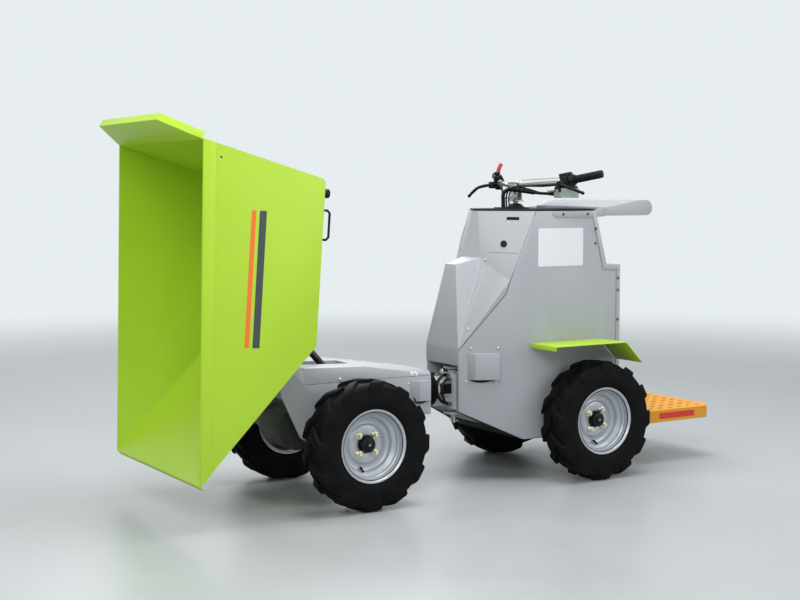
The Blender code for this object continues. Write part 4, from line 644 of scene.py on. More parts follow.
def makeConsole():
    dressedAll(
        "rear_half", ("rear_body", "consoleBody", "grey", 0.0030, 3),
        ("cowl", "cowlCover", "grey", 0.0030, 3, 12, 30), ("rear_cover", "rearCover", "grey", 0.0014),
        ("deck", "deckSeal", "gasket", 0.0015), ("shelf", "hipShelf", "grey", 0.0020, 3, 25),
        ("vent_cover_left", "ventCoverLeft", "grey", 0.0022, 3),
        ("vent_cover_right", "ventCoverRight", "grey", 0.0022, 3),
        ("hinge_lugs", "hingeLugs", "grey", 0.0015), ("pivot_pin", "pivotPin", "zinc", 0.0010),
        ("rear_axle", "rearAxle", "cast", 0.0015), ("step_frame", "stepFrame", "cast", 0.0025, 3),
        ("fender_left", "fenderLeft", "lime", 0.0008), ("fender_right", "fenderRight", "lime", 0.0008),
        ("stem_boot", "stemBoot", "black", 0.0025, 3, 20))
    makeBelly()
    makeRearCover()
    print("console dressed")


def makeBelly():
    # Painted shade: a black sheet over the faces that look down, standing for the shade under the belly
    bm = bmesh.new()
    bm.from_mesh(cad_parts["rear_body"].data)
    limit = at(0, 0, 0.33).z
    others = [f for f in bm.faces if f.normal.z > -0.25 or f.calc_center_median().z > limit]
    bmesh.ops.delete(bm, geom=others, context="FACES")
    bmesh.ops.remove_doubles(bm, verts=bm.verts, dist=0.00002)
    for vertex in bm.verts:
        vertex.co += vertex.normal * hair
    made = bmesh.ops.extrude_face_region(bm, geom=bm.faces[:])
    for item in made["geom"]:
        if isinstance(item, bmesh.types.BMVert):
            item.co -= Vector((0, 0, 0.0008))
    shown("bellySeal", bm, "dark", "rear_half")


backCover = {"slots": 9, "slotLow": 0.560, "slotPitch": 0.022, "slotHalf": 0.090, "screwY": 0.225,
             "screwZ": (0.235, 0.395, 0.555, 0.715, 0.875), "catchY": 0.185, "catchZ": 0.800}


def makeRearCover():
    # Louvres, catches and edge screws on the rear cover's flat back
    back = struck(at(-0.6, 0, 0.62), (1, 0, 0), "rear_cover", "rear_body")[0].x - shift.x
    half = backCover["slotHalf"]
    heights = [backCover["slotLow"] + backCover["slotPitch"] * k for k in range(backCover["slots"])]
    bm = bmesh.new()
    addPlate(bm, [(0.0, -0.0050), (-0.0062, 0.0010), (-0.0062, 0.0020), (0.0, 0.0062)], "y", -half, half)
    hood = bevelled(fromBmesh("louvre", bm), 0.0008, 2)
    atMarks("louvres", hood, [(at(back, 0, z), (0, 0, 1)) for z in heights], "grey", "rear_half")
    # Painted shade: a dark strip under each louvre for the shade inside its open slot
    bm = bmesh.new()
    for height in heights:
        z = height - 0.0062
        addPlate(bm, roundedBox(0.004 - half, z - 0.0016, half - 0.004, z + 0.0016, 0.0014, 3), "x",
                 back - 0.0010, back - 0.0001)
    shown("louvreGaps", bm, "dark", "rear_half", inMachine)
    marks = [(at(back, side * backCover["screwY"], z), (-1, 0, 0))
             for side in (-1, 1) for z in backCover["screwZ"]]
    addScrews("backScrews", marks, "zinc", "rear_half", 0.0046, 0.0030)
    # Two quarter-turn catches
    bm, z = bmesh.new(), backCover["catchZ"]
    for y in (-backCover["catchY"], backCover["catchY"]):
        addRod(bm, (back, y, z), (back - 0.004, y, z), 0.0150, sides=28)
        addRod(bm, (back - 0.004, y, z), (back - 0.010, y, z), 0.0105, 0.0095, sides=24)
        addBox(bm, (back - 0.013, y - 0.0095, z - 0.0025), (back - 0.009, y + 0.0095, z + 0.0025))
    shown("catches", bm, "black", "rear_half", inMachine, (0.0007, 2))


sidePlate = {"low": (-0.007, 0.914), "high": (0.235, 1.077), "corner": 0.006, "thick": 0.0009}
sideTabs = {"tab": [(-0.064, 1.1215), (0.128, 1.1215), (0.146, 1.125), (0.158, 1.134), (0.163, 1.146),
                    (0.163, 1.149), (-0.064, 1.149)],
            "cheek": [(-0.126, 1.1255), (-0.060, 1.1215), (-0.060, 1.1500), (-0.098, 1.1640),
                      (-0.126, 1.1640)],
            "thick": 0.003, "screwX": (-0.030, 0.104), "screwZ": 1.136}
sideScrews = {"x": -0.2035, "z": (0.245, 0.395, 0.545, 0.670, 0.800, 0.852), "stand": 0.004,
              "upper": ((-0.0770, 1.0086), (-0.0755, 1.0720))}


def onSide(bm, outline, side, thick, lift=0.0):
    # A flat thing on the console's flat side wall: outline in x, z
    y = side * (console["half"] + lift)
    addPlate(bm, outline, "y", y, y + side * thick)


def roundedBox(x0, z0, x1, z1, r, steps=5):
    # The outline of a box with rounded corners
    points = []
    for cx, cz, first in (
            (x1 - r, z1 - r, 0), (x0 + r, z1 - r, 90), (x0 + r, z0 + r, 180), (x1 - r, z0 + r, 270)):
        for k in range(steps + 1):
            t = math.radians(first + 90 * k / steps)
            points.append((cx + r * math.cos(t), cz + r * math.sin(t)))
    return points


def makeSidePanels():
    bm = bmesh.new()
    outline = roundedBox(*sidePlate["low"], *sidePlate["high"], sidePlate["corner"])
    onSide(bm, outline, 1, sidePlate["thick"], hair)
    shown("blankSidePlate", bm, "white", "rear_half", inMachine)
    # Folded tabs under the shelf with two screws each, and the shelf's folded cheeks that run down to them
    tabs, marks = bmesh.new(), []
    for side in (-1, 1):
        onSide(tabs, sideTabs["tab"], side, sideTabs["thick"])
        onSide(tabs, sideTabs["cheek"], side, sideTabs["thick"], 0.0008)
        y = side * (console["half"] + sideTabs["thick"])
        marks += [(at(x, y, sideTabs["screwZ"]), (0, side, 0)) for x in sideTabs["screwX"]]
        # Screws of the rear cover's flanges and of the seam
        y = side * (console["half"] + sideScrews["stand"])
        marks += [(at(sideScrews["x"], y, z), (0, side, 0)) for z in sideScrews["z"]]
        for x, z in sideScrews["upper"]:
            marks.append(struck(at(x, side * 0.5, z), (0, -side, 0), "rear_cover", "rear_body"))
    shown("shelfTabs", tabs, "grey", "rear_half", inMachine, (0.0010, 2))
    addScrews("panelScrews", marks, "darkSteel", "rear_half", 0.0048, 0.0026)
    makeSeams()
    makeCowlDetails()
    makeVents()


seam = {"route": ((0.249, 1.148), (0.357, 0.861), (0.375, 0.800), (0.5555, 0.566)),
        "wide": 0.0018, "tall": 0.0004}


def makeSeams():
    # Dark joints between the sheets, as thin strips that stand a hair proud
    bm = bmesh.new()
    for side in (-1, 1):
        places = [at(x, side * (taperHalf(x) + seam["tall"]), z) for x, z in seam["route"]]
        for a, b, (x, z) in zip(places, places[1:], seam["route"][1:]):
            facing = taperFacing(side) if x > console["taperX"] else Vector((0, side, 0))
            addStrip(bm, a, b, facing, seam["wide"], seam["tall"])
    shown("sheetSeams", bm, "dark", "rear_half")


cowlMarks = {"slot": (0.3092, 1.1186), "slotScrews": ((0.3231, 1.1002), (0.3061, 1.1006)),
             "socket": (0.3491, 1.0104), "edgeScrews": ((0.3991, 0.9406), (0.5131, 0.6525)),
             "line": ((0.3879, 0.9751), (0.3224, 0.9716)), "fold": ((0.407, 0.950), (0.5595, 0.572))}
socketSection = [(0.0150, 0.0001), (0.0150, 0.0022), (0.0140, 0.0030), (0.0108, 0.0030), (0.0100, 0.0010),
                 (0.0, 0.0008)]


def onCheek(x, z, side=1):
    # The sheet's place and facing where a line across the machine meets it
    return struck(at(x, side * 0.6, z), (0, -side, 0), "cowl", "rear_body")


def makeCowlDetails():
    # Slot under the deck, drawn as a dark plate of painted shade, and the round socket below it, on the left
    # cheek of the cowl
    slot = bmesh.new()
    addPlate(slot, roundedBox(-0.029, -0.0065, 0.029, 0.0065, 0.003), "y", 0.0001, 0.0008)
    shown("cableSlot", slot, "dark", "rear_half", facingMatrix(*onCheek(*cowlMarks["slot"])))
    ring = lathed("socketRing", socketSection, 40, matrix=facingMatrix(*onCheek(*cowlMarks["socket"])))
    finished(ring, "black", "rear_half")
    # Painted shade along a faint fold across each cheek, as thin dark strips
    lines = bmesh.new()
    (xa, za), (xb, zb) = cowlMarks["line"]
    for side in (-1, 1):
        row = [onCheek(xa + (xb - xa) * k / 10, za + (zb - za) * k / 10, side) for k in range(11)]
        for (a, normal), (b, after) in zip(row, row[1:]):
            addStrip(lines, a, b, ((normal + after) / 2).normalized(), 0.0020, 0.0006)
    shown("cheekFolds", lines, "shade", "rear_half")
    # Painted highlight: pale lines along the fold where the nose cover laps over the cheek, with a second
    # beside its edge
    edges = []
    (xa, za), (xb, zb) = cowlMarks["fold"]
    for side in (-1, 1):
        for back, radius in ((0.0, 0.0011), (0.020, 0.0007)):
            row = []
            for k in range(15):
                share = 0.02 + 0.96 * k / 14
                x = xa + (xb - xa) * share - back * (1 - share)
                place, normal = onCheek(x, za + (zb - za) * share, side)
                row.append(place + normal * hair)
            edges.append(swept("foldEdge", row, radius, 2, False))
    finished(joined("coverFolds", edges), "paleGrey", "rear_half")
    small = [onCheek(x, z) for x, z in cowlMarks["slotScrews"]]
    large = [onCheek(x, z, side) for side in (-1, 1) for x, z in cowlMarks["edgeScrews"]]
    addScrews("slotScrews", small, "zinc", "rear_half", 0.0022, 0.0014)
    addScrews("cowlScrews", large, "zinc", "rear_half", 0.0048, 0.0030)


solidTrees = {}


def struck(start, direction, *nodes):
    # Where a ray first meets one of the CAD nodes, and the way that face looks
    hits = []
    way = Vector(direction).normalized()
    for node in nodes:
        if node not in solidTrees:
            bm = bmesh.new()
            bm.from_mesh(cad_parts[node].data)
            solidTrees[node] = BVHTree.FromBMesh(bm)
            bm.free()
        place, normal, index, distance = solidTrees[node].ray_cast(Vector(start), way)
        if place is not None:
            hits.append((distance, place, normal))
    return min(hits, key=lambda hit: hit[0])[1:]


def facingMatrix(place, normal):
    # y looks along the normal, z stays as upright as it can
    across = Vector((0, 0, 1)).cross(normal).normalized() * -1
    upright = normal.cross(across).normalized() * -1
    return Matrix.Translation(place) @ Matrix((across, normal, upright)).transposed().to_4x4()


vents = {"along": 0.186, "length": 0.136, "height": 0.112, "middle": 0.494, "flange": 0.014, "thick": 0.0016,
         "frameX": 0.802, "frameZ": 0.421, "frameSize": 0.084, "frameHalf": 0.200}


def makeVents():
    # Flanges above and beside each cover, with a screw at each corner
    middle = Vector((console["taperX"], console["half"], 0)) + taperRun * vents["along"]
    marks, flanges, shadeSheets = [], bmesh.new(), bmesh.new()
    half, tall, wide = vents["length"] / 2, vents["height"] / 2, vents["flange"]
    for side in (-1, 1):
        facing = taperFacing(side)
        along = Vector((taperRun.x, side * taperRun.y, 0))
        centre = at(middle.x, side * middle.y, vents["middle"])

        def spots(places, lift):
            return [centre + along * a + Vector((0, 0, z)) + facing * lift for a, z in places]

        for a0, a1, low in ((-half, half, tall), (-half - wide, -half, -tall), (half, half + wide, -tall)):
            corners = ((a0, low), (a1, low), (a1, tall + wide), (a0, tall + wide))
            addSlab(flanges, spots(corners, hair), spots(corners, vents["thick"]))
        places = ((half - 0.014, tall + 0.021), (0.006 - half, tall + 0.021), (half + 0.007, -tall - 0.008),
                  (0.014 - half, -tall - 0.012))
        marks += [(place, facing) for place in spots(places, vents["thick"])]
        # Painted shade: a dark bow under the cover, for the shade at its open lower edge
        shadeBowOutline = [(half - 0.006 - k * (vents["length"] - 0.012) / 12,
                -tall - 0.0135 * math.sin(math.pi * (k / 12) ** 0.8)) for k in range(13)]
        addSlab(shadeSheets, spots(shadeBowOutline, hair), spots(shadeBowOutline, 0.0014))
    shown("ventFlanges", flanges, "grey", "rear_half")
    shown("ventBows", shadeSheets, "dark", "rear_half")
    addScrews("ventScrews", marks, "zinc", "rear_half", 0.0052, 0.0030)
    # Screws and a short cable at each vent of the front frame
    marks, cables = [], []
    low = vents["frameZ"] - vents["frameSize"] / 2
    for side in (-1, 1):
        y = side * (vents["frameHalf"] + hair)
        for x in (-vents["frameSize"] / 2 - 0.006, vents["frameSize"] / 2 + 0.008):
            for z in (-0.028, 0.030):
                marks.append((at(vents["frameX"] + x, y, vents["frameZ"] + z), (0, side, 0)))
        route = [at(vents["frameX"] + x, y * out, low + z) for x, out, z in (
            (0.030, 1.05, 0.014), (0.020, 1.06, -0.006), (-0.012, 1.03, -0.008), (-0.034, 1.005, -0.004))]
        cables.append(swept("frameCable", route, 0.0034, 3))
    finished(joined("frameCables", cables), "black", "front_half")
    addScrews("frameVentScrews", marks, "zinc", "front_half", 0.0036, 0.0022)


# Step: a punched tread with raised collars round its holes and a red strip on its side
step = {"top": 0.245, "rearX": -0.775, "frontX": -0.335, "half": 0.275, "chamfer": 0.045, "rim": 0.033,
        "pitch": 0.057, "hole": 0.013}
collarSection = [(0.0128, -0.0040), (0.0128, 0.0003), (0.0140, 0.0010), (0.0160, 0.0004), (0.0172, -0.0008)]
holeShadeProfile = [(0.0126, -0.0075), (0.0126, 0.0000), (0.0122, 0.0000), (0.0122, -0.0075)]
dimpleSection = [(0.0, 0.0016), (0.0035, 0.0015), (0.0062, 0.0009), (0.0082, 0.0)]
ontoZ = Matrix.Rotation(math.radians(90), 4, "X")  # stands a piece turned about y on z


def makeStep():
    dressedAll("rear_half", ("step", "rearStep", "yellow", 0.0014, 2, 40))
    marks, grains = [], []
    rows = int((step["frontX"] - step["rearX"] - step["rim"]) / step["pitch"])
    columns = int((step["half"] - step["rim"]) / step["pitch"])
    reach = step["half"] - step["chamfer"] - 0.004
    middle = step["pitch"] / 2
    for row in range(rows):
        x = step["rearX"] + step["rim"] + step["pitch"] * (row + 0.5)
        for column in range(-columns, columns + 1):
            y = column * step["pitch"]
            if abs(y) + step["hole"] < reach + (x - step["rearX"]):
                marks.append((at(x, y, step["top"]), (0, 0, 1)))
            if row and abs(y + middle) < step["half"] - step["rim"]:
                grains.append((at(x - middle, y + middle, step["top"] - 0.0003), (0, 0, 1)))
    # Turned-up collar of each punched hole, a dark wall inside it as painted shade, and a small raised dimple
    # between four holes
    atMarks("treadCollars", lathed("collar", collarSection, 20, True, ontoZ), marks, "yellow", "rear_half")
    atMarks("treadHoleWalls", lathed("holeWall", holeShadeProfile, 20, True, ontoZ), marks, "dark", "rear_half")
    atMarks("treadDimples", lathed("dimple", dimpleSection, 14, False, ontoZ), grains, "yellow", "rear_half")
    bm = bmesh.new()
    y, outline = step["half"], roundedBox(-0.650, step["top"] - 0.040, -0.440, step["top"] - 0.014, 0.001)
    for side in (-1, 1):
        addPlate(bm, outline, "y", side * (y + 0.0001), side * (y + 0.0007))
    shown("stepStrip", bm, "reflective", "rear_half", inMachine)
    # Bolts that hold the tread to its two carrying bars
    bolts = [(at(x, side * 0.140, step["top"]), (0, 0, 1)) for side in (-1, 1) for x in (-0.3485, -0.760)]
    addScrews("stepBolts", bolts, "zinc", "rear_half", 0.0055, 0.0035, True)
    print("step made")


# Front half
coverScrews = {"top": ((0.9001, 0.1866), (0.9030, 0.0766)),
               "side": ((0.8361, 0.4918), (0.8165, 0.4904), (1.1706, 0.4915))}


def makeFront():
    dressedAll(
        "front_half", ("front_frame", "frontFrame", "grey", 0.0018, 3),
        ("front_cover", "frontCover", "grey", 0.0040, 3),
        ("frame_vent_left", "frameVentLeft", "grey", 0.0018, 3),
        ("frame_vent_right", "frameVentRight", "grey", 0.0018, 3),
        ("front_axle", "frontAxle", "cast", 0.0040, 3),
        ("tip_pin", "tipPin", "zinc", 0.0010, 3), ("cylinder_pin", "cylinderPin", "zinc", 0.0008, 3))
    dressedAll("knuckle", ("knuckle", "knuckleFrame", "paleGrey", 0.0016, 3),
               ("steer_stop", "steerStop", "black", 0.0030, 3))
    dressedAll("cylinder_barrel", ("tip_cylinder", "cylinderBarrel", "black", 0.0015))
    dressedAll("cylinder_rod", ("tip_rod", "cylinderRod", "darkSteel", 0.0010))
    makeKnuckleDetails()
    marks = []
    for side in (-1, 1):
        for x, y in coverScrews["top"]:
            marks.append(struck(at(x, side * y, 0.9), (0, 0, -1), "front_cover"))
        for x, z in coverScrews["side"]:
            marks.append(struck(at(x, side * 0.5, z), (0, -side, 0), "front_cover", "front_frame"))
    addScrews("coverScrews", marks, "zinc", "front_half", 0.0056, 0.0030)
    print("front half dressed")


knuckleHoses = [  # pressure lines that loop past the steering pin: points, radius
    ([(0.548, 0.030, 0.446), (0.585, 0.050, 0.452), (0.618, 0.056, 0.425), (0.622, 0.056, 0.385),
      (0.600, 0.052, 0.345), (0.555, 0.034, 0.322)], 0.0068),
    ([(0.548, 0.046, 0.430), (0.580, 0.064, 0.432), (0.604, 0.070, 0.405), (0.600, 0.070, 0.365),
      (0.580, 0.060, 0.335), (0.548, 0.046, 0.325)], 0.0058),
    ([(0.548, -0.036, 0.440), (0.590, -0.054, 0.445), (0.616, -0.058, 0.400), (0.600, -0.054, 0.345),
      (0.550, -0.036, 0.325)], 0.0065)]
hingeRods = [(0.068, 0.298, 0.462, 0.0105), (0.068, 0.294, 0.302, 0.0150), (0.068, 0.456, 0.464, 0.0150),
             (-0.068, 0.298, 0.462, 0.0105)]  # y, from z, to z, radius
rollBearing = {"z": 0.388, "bellowsX": 0.6500, "discX": 0.615, "boltCircle": 0.044, "bolts": 6}


def makeKnuckleDetails():
    for i, (points, radius) in enumerate(knuckleHoses):
        finished(swept("knuckleHose%d" % i, [at(*p) for p in points], radius), "black", "knuckle")
    # Hose ends, and grease nipples on the sleeve
    bm = bmesh.new()
    for points, radius in knuckleHoses:
        for here, after in ((points[0], points[1]), (points[-1], points[-2])):
            a = at(*here)
            run = (at(*after) - a).normalized()
            addRod(bm, a - run * 0.004, a + run * 0.014, radius * 1.45, sides=6)
            addRod(bm, a + run * 0.014, a + run * 0.022, radius * 1.2, sides=16)
    run = Vector((0.004, 0.006, 0))
    for z in (0.335, 0.430):
        a = at(0.516, 0.020, z)
        addRod(bm, a, a + run, 0.0042, sides=6)
        addRod(bm, a + run, a + run * 2, 0.0026, 0.0016, sides=10)
    shown("hoseEnds", bm, "steel", "knuckle")
    # Bright hinge column beside the bracket, and the bellows round the roll bearing
    bm = bmesh.new()
    for y, low, high, radius in hingeRods:
        addRod(bm, at(0.512, y, low), at(0.512, y, high), radius, sides=28)
    shown("hingeColumn", bm, "bright", "knuckle", edge=(0.0010, 2))
    ridges = [(0.0600 + (0.0095 if k % 2 else 0.0), -0.0335 + 0.0067 * k) for k in range(11)]
    place = Matrix.Translation(at(rollBearing["bellowsX"], 0, rollBearing["z"]))
    bellows = lathed("rollBellows", ridges + [(0.0520, 0.0335), (0.0520, -0.0335)], 56, True,
                     place @ Matrix.Rotation(math.radians(-90), 4, "Z"))
    finished(bellows, "black", "knuckle", smooth=50)
    # Bolts round the roll shaft's disc
    marks, r = [], rollBearing["boltCircle"]
    for k in range(rollBearing["bolts"]):
        t = math.radians(60 * k + 30)
        place = at(rollBearing["discX"], r * math.cos(t), rollBearing["z"] + r * math.sin(t))
        marks.append((place, (1, 0, 0)))
    addScrews("rollDiscBolts", marks, "zinc", "knuckle", 0.0050, 0.0035, True)


# Skip: small drilled holes near the corner, drawn as dark discs of painted shade, and two plain stripes along
# each side
skip = {"half": 0.420, "hole": (1.7731, 1.3562), "stripeFrom": -0.560, "stripeTo": -0.060,
        "stripes": (("slateStripe", "slate", 0.210, 0.238), ("orangeStripe", "orange", 0.252, 0.270))}


def makeSkip():
    dressedAll("skip", ("skip", "skipShell", "lime", 0.0016, 3, 20),
               ("skip_hinge", "skipHinge", "grey", 0.0015))
    dressedAll("cylinder_rod", ("rod_pin", "rodPin", "zinc", 0.0008))
    dressedAll("skip", ("skip_handle", "grabHandle", "black", 0),
               ("skip_buffer", "rubberBuffer", "black", 0.0030, 3))
    # A dark disc of painted shade with a worn rim for each hole
    bm, rims = bmesh.new(), bmesh.new()
    x, z = skip["hole"]
    for side in (-1, 1):
        place, normal = struck(at(x, side * 0.6, z), (0, -side, 0), "skip")
        addRod(bm, place, place + normal * 0.0004, 0.0034, sides=24)
        addRod(rims, place, place + normal * 0.0003, 0.0046, sides=24)
    shown("skipHoles", bm, "dark", "skip")
    shown("skipHoleRims", rims, "steel", "skip")
    for label, paint, low, high in skip["stripes"]:
        bm = bmesh.new()
        for side in (-1, 1):
            y = side * (skip["half"] + hair)
            outline = roundedBox(skip["stripeFrom"], low, skip["stripeTo"], high, 0.004)
            addPlate(bm, outline, "y", y, y + side * 0.0005)
        shown(label, bm, paint, "skip", inSkip)
    print("skip dressed")


# Handlebar
bar = {"hip": (0.099, 0.217, 1.271), "end": (0.010, 0.380, 1.306), "perch": 0.0303, "deck": 1.1586}
levers = (("left", 1, (-0.010, 0.040, -0.010), (-0.065, 0.085, -0.038)),
          ("right", -1, (0.045, 0.050, -0.014), (0.062, 0.098, -0.052)))
thumbRoute = ((0, 0, 0.012), (0.006, -0.002, 0.032), (0.006, -0.001, 0.054), (0.001, 0.002, 0.072),
              (-0.006, 0.005, 0.083))
barCables = [  # thin cables from the deck and the conduit: name, points, radius
    ("cableToPerch", [(0.206, 0.002, 1.160), (0.209, 0.000, 1.205), (0.196, 0.006, 1.243),
                      (0.165, 0.045, 1.256), (0.125, 0.140, 1.256), (0.106, 0.215, 1.262),
                      (0.100, 0.236, 1.268)], 0.0034),
    ("cableToBox", [(0.216, -0.006, 1.160), (0.217, -0.006, 1.215), (0.200, 0.010, 1.252),
                    (0.160, 0.060, 1.246), (0.125, 0.130, 1.226), (0.108, 0.190, 1.218),
                    (0.098, 0.207, 1.220)], 0.0036),
    ("cableToRight", [(0.218, -0.016, 1.160), (0.224, -0.026, 1.222), (0.208, -0.060, 1.262),
                      (0.160, -0.130, 1.274), (0.118, -0.205, 1.276), (0.104, -0.236, 1.276)], 0.0034),
    ("cableRightTwo", [(0.232, -0.010, 1.205), (0.224, -0.030, 1.252), (0.190, -0.080, 1.254),
                       (0.140, -0.160, 1.262), (0.112, -0.225, 1.262)], 0.0030)]
cableTies = (((0.197, 0.022, 1.243), (-0.5, 0.85, -0.1), 0.013), ((0.222, -0.010, 1.205), (0, 0, 1), 0.014))


def barMatrix(side):
    # x runs out along the swept end from the hip, y ahead, z up
    hip = at(bar["hip"][0], side * bar["hip"][1], bar["hip"][2])
    out = (at(bar["end"][0], side * bar["end"][1], bar["end"][2]) - hip).normalized()
    ahead = out.cross(Vector((0, 0, side))).normalized()
    up = out.cross(ahead)
    return Matrix.Translation(hip) @ Matrix((out, ahead, up if up.z > 0 else -up)).transposed().to_4x4()


def makeBar():
    dressedAll(
        "handlebar_set", ("stem", "barStem", "zinc", 0.0010, 3), ("handlebar", "barTube", "steel", 0),
        ("lever_left", "leverLeft", "black", 0.0008, 3), ("lever_right", "leverRight", "black", 0.0008, 3),
        ("control_box", "controlBox", "box", 0.0030, 3), ("grip_left", "gripLeft", "grip", 0.0020, 3),
        ("grip_right", "gripRight", "grip", 0.0020, 3))
    makeHousings()
    makeLevers()
    makeBoxDetails()
    makeGrips()
    makeLoom()
    makeStemDetails()
    print("handlebar made")


def makeHousings():
    # Switch housing, lever perch and fluid pot, in the bar's own directions
    for side, name in ((1, "Left"), (-1, "Right")):
        bm = bmesh.new()
        addRod(bm, (0.048, 0, 0), (0.0700, 0, 0), 0.0235, sides=28)
        addBox(bm, (0.014, -0.015, -0.018), (0.047, 0.026, 0.020))
        addBox(bm, (0.026, -0.014, -0.036), (0.068, 0.018, -0.010))
        addBox(bm, (0.020, 0.016, -0.016), (0.040, 0.046, -0.002))
        if side > 0:
            addBox(bm, (0.008, -0.020, 0.008), (0.060, 0.014, 0.036))
        else:
            addBox(bm, (0.006, -0.010, 0.012), (0.046, 0.028, 0.032))
            addRod(bm, (0.034, 0.012, 0.030), (0.034, 0.012, 0.046), 0.0125, sides=24)
            addBox(bm, (0.016, 0.020, -0.028), (0.044, 0.050, 0.000))
        shown("housing" + name, bm, "black", "handlebar_set", barMatrix(side), (0.0028, 3, 40))


def makeLevers():
    # The brake blades' thicker grips over the solid rods, and the curved red lever on the right
    for name, side, middle, tip in levers:
        pivot = barMatrix(side) @ Vector((bar["perch"], 0, 0)) + Vector((0.040, 0, -0.012))
        route = [pivot + Vector((x, side * y, z)) for x, y, z in ((0, 0, 0.001), middle, tip)]
        blade = swept("leverBlade", route, 0.0068)
        knob = bmesh.new()
        bmesh.ops.create_uvsphere(knob, u_segments=20, v_segments=12, radius=0.0078,
                                  matrix=Matrix.Translation(route[-1]))
        addRod(knob, pivot - Vector((0, 0, 0.011)), pivot + Vector((0, 0, 0.011)), 0.0095, sides=24)
        finished(joined("leverGrip_" + name, [blade, fromBmesh("knob", knob)]), "black", "handlebar_set")
    spot = barMatrix(-1) @ Vector((bar["perch"], 0, 0))
    lever = swept("thumbLever", [spot + Vector(p) for p in thumbRoute], 0.0092, 5)
    finished(lever, "red", "handlebar_set", ("thumb_lever",))


def makeBoxDetails():
    # Black lid on the control box, its toggle and its screws
    bm = bmesh.new()
    addBox(bm, (0.034, 0.207, 1.2475), (0.116, 0.263, 1.2570))
    addBox(bm, (0.088, 0.212, 1.2300), (0.1215, 0.256, 1.2560))
    shown("boxLid", bm, "black", "handlebar_set", inMachine, (0.0025, 3))
    bm = bmesh.new()
    addRod(bm, (0.120, 0.235, 1.2345), (0.126, 0.235, 1.2348), 0.0085, sides=6)
    addRod(bm, (0.126, 0.235, 1.2348), (0.150, 0.235, 1.2357), 0.0030, 0.0036, sides=16)
    addRod(bm, (0.150, 0.235, 1.2357), (0.176, 0.235, 1.2366), 0.0036, 0.0048, sides=16)
    shown("boxToggle", bm, "zinc", "handlebar_set", inMachine)
    marks = [(at(x, 0.2652, z), (0, 1, 0)) for x in (0.040, 0.110) for z in (1.214, 1.240)]
    addScrews("boxScrews", marks, "zinc", "handlebar_set", 0.0026, 0.0016)


flangeSection = [(0.0150, 0.0700), (0.0225, 0.0700), (0.0232, 0.0715), (0.0225, 0.0745), (0.0172, 0.0765),
                 (0.0150, 0.0765)]
gripEndSection = [(0.0, 0.1925), (0.0090, 0.1922), (0.0150, 0.1900), (0.0176, 0.1865), (0.0180, 0.1830),
                  (0.0150, 0.1800)]
ribSection = [(0.0160, -0.0016), (0.0174, -0.0010), (0.0174, 0.0010), (0.0160, 0.0016)]
conduitSection = [(0.0062, -0.0022), (0.0092, -0.0012), (0.0092, 0.0012), (0.0062, 0.0022)]
conduitRoute = ((0.232, -0.010, 0.000), (0.232, -0.010, 0.031), (0.231, -0.010, 0.066), (0.210, 0.005, 0.085),
                (0.185, 0.050, 0.079), (0.150, 0.105, 0.070))


def makeGrips():
    # Flange, rounded end and ribs of each grip
    for side, name in ((1, "Left"), (-1, "Right")):
        matrix = barMatrix(side)
        bm = bmesh.new()
        addLathe(bm, flangeSection, 40, True)
        addLathe(bm, gripEndSection, 40)
        turn = Matrix.Rotation(math.radians(-90), 4, "Z")
        shown("gripEnds" + name, bm, "grip", "handlebar_set", matrix @ turn)
        out = matrix.to_3x3() @ Vector((1, 0, 0))
        marks = [(matrix @ Vector((0.082 + 0.0068 * k, 0, 0)), out) for k in range(15)]
        ring = lathed("ring", ribSection, 24, True, ontoZ)
        atMarks("gripRibs" + name, ring, marks, "grip", "handlebar_set")


def makeLoom():
    # Corrugated conduit over the solid loom's rise, and the thinner cables beside it
    dressedAll("handlebar_set", ("cable_loom", "cableLoom", "black", 0))
    route = smoothRoute([at(x, y, bar["deck"] + z) for x, y, z in conduitRoute], 8)
    rings = alongPath("conduitRings", lathed("ring", conduitSection, 20, True, ontoZ), route, 52, "black")
    finished(rings, "black", "handlebar_set")
    for name, points, radius in barCables:
        finished(swept(name, [at(*p) for p in points], radius, 3), "black", "handlebar_set")
    # Cable ties that hold them together
    bm = bmesh.new()
    for place, run, size in cableTies:
        a, way = at(*place), Vector(run).normalized()
        addRod(bm, a - way * 0.002, a + way * 0.002, size, sides=20)
    shown("cableTies", bm, "dark", "handlebar_set")


guideRod = ((0.166, 0.030, 1.284), (0.150, 0.080, 1.2855), (0.112, 0.180, 1.2905), (0.090, 0.236, 1.2945))


def makeStemDetails():
    # Cheek plates of the clamp with their bolts, the thin rod over the bar, and clamps where the bar bends
    bm = bmesh.new()
    for x in (0.156, 0.183):
        addBox(bm, (x, -0.026, 1.196), (x + 0.005, 0.026, 1.268))
    addBox(bm, (0.152, -0.034, 1.268), (0.192, 0.034, 1.276))
    addBox(bm, (0.150, -0.030, 1.190), (0.194, 0.030, 1.196))
    shown("clampPlates", bm, "zinc", "handlebar_set", inMachine, (0.0010, 2))
    marks = [(at(0.188, y, z), (1, 0, 0)) for y in (-0.016, 0.016) for z in (1.212, 1.236)]
    marks += [(at(x, y, 1.276), (0, 0, 1)) for x in (0.160, 0.184) for y in (-0.026, 0.026)]
    addScrews("clampBolts", marks, "bright", "handlebar_set", 0.0052, 0.0042, True)
    finished(swept("guideRod", [at(*p) for p in guideRod], 0.0022, 3), "zinc", "handlebar_set")
    bm = bmesh.new()
    for side in (-1, 1):
        matrix = barMatrix(side)
        addRod(bm, matrix @ Vector((0.003, 0, 0)), matrix @ Vector((0.012, 0, 0)), 0.0148, sides=24)
    shown("barClamps", bm, "zinc", "handlebar_set", edge=(0.0010, 2))


# Floor, light and camera
camera = {"place": (3.8343, 4.9869, 1.2373), "yaw": -121.56, "pitch": -4.49, "focal": 1393.3, "frame": 800}
stage = {"floor": (0.40, 0.42, 0.43), "wall": (0.80, 0.85, 0.87), "sky": (0.90, 0.95, 1.0, 1), "fill": 0.34,
         "fadeFrom": 3.4, "fadeTo": 9.0, "half": 30}


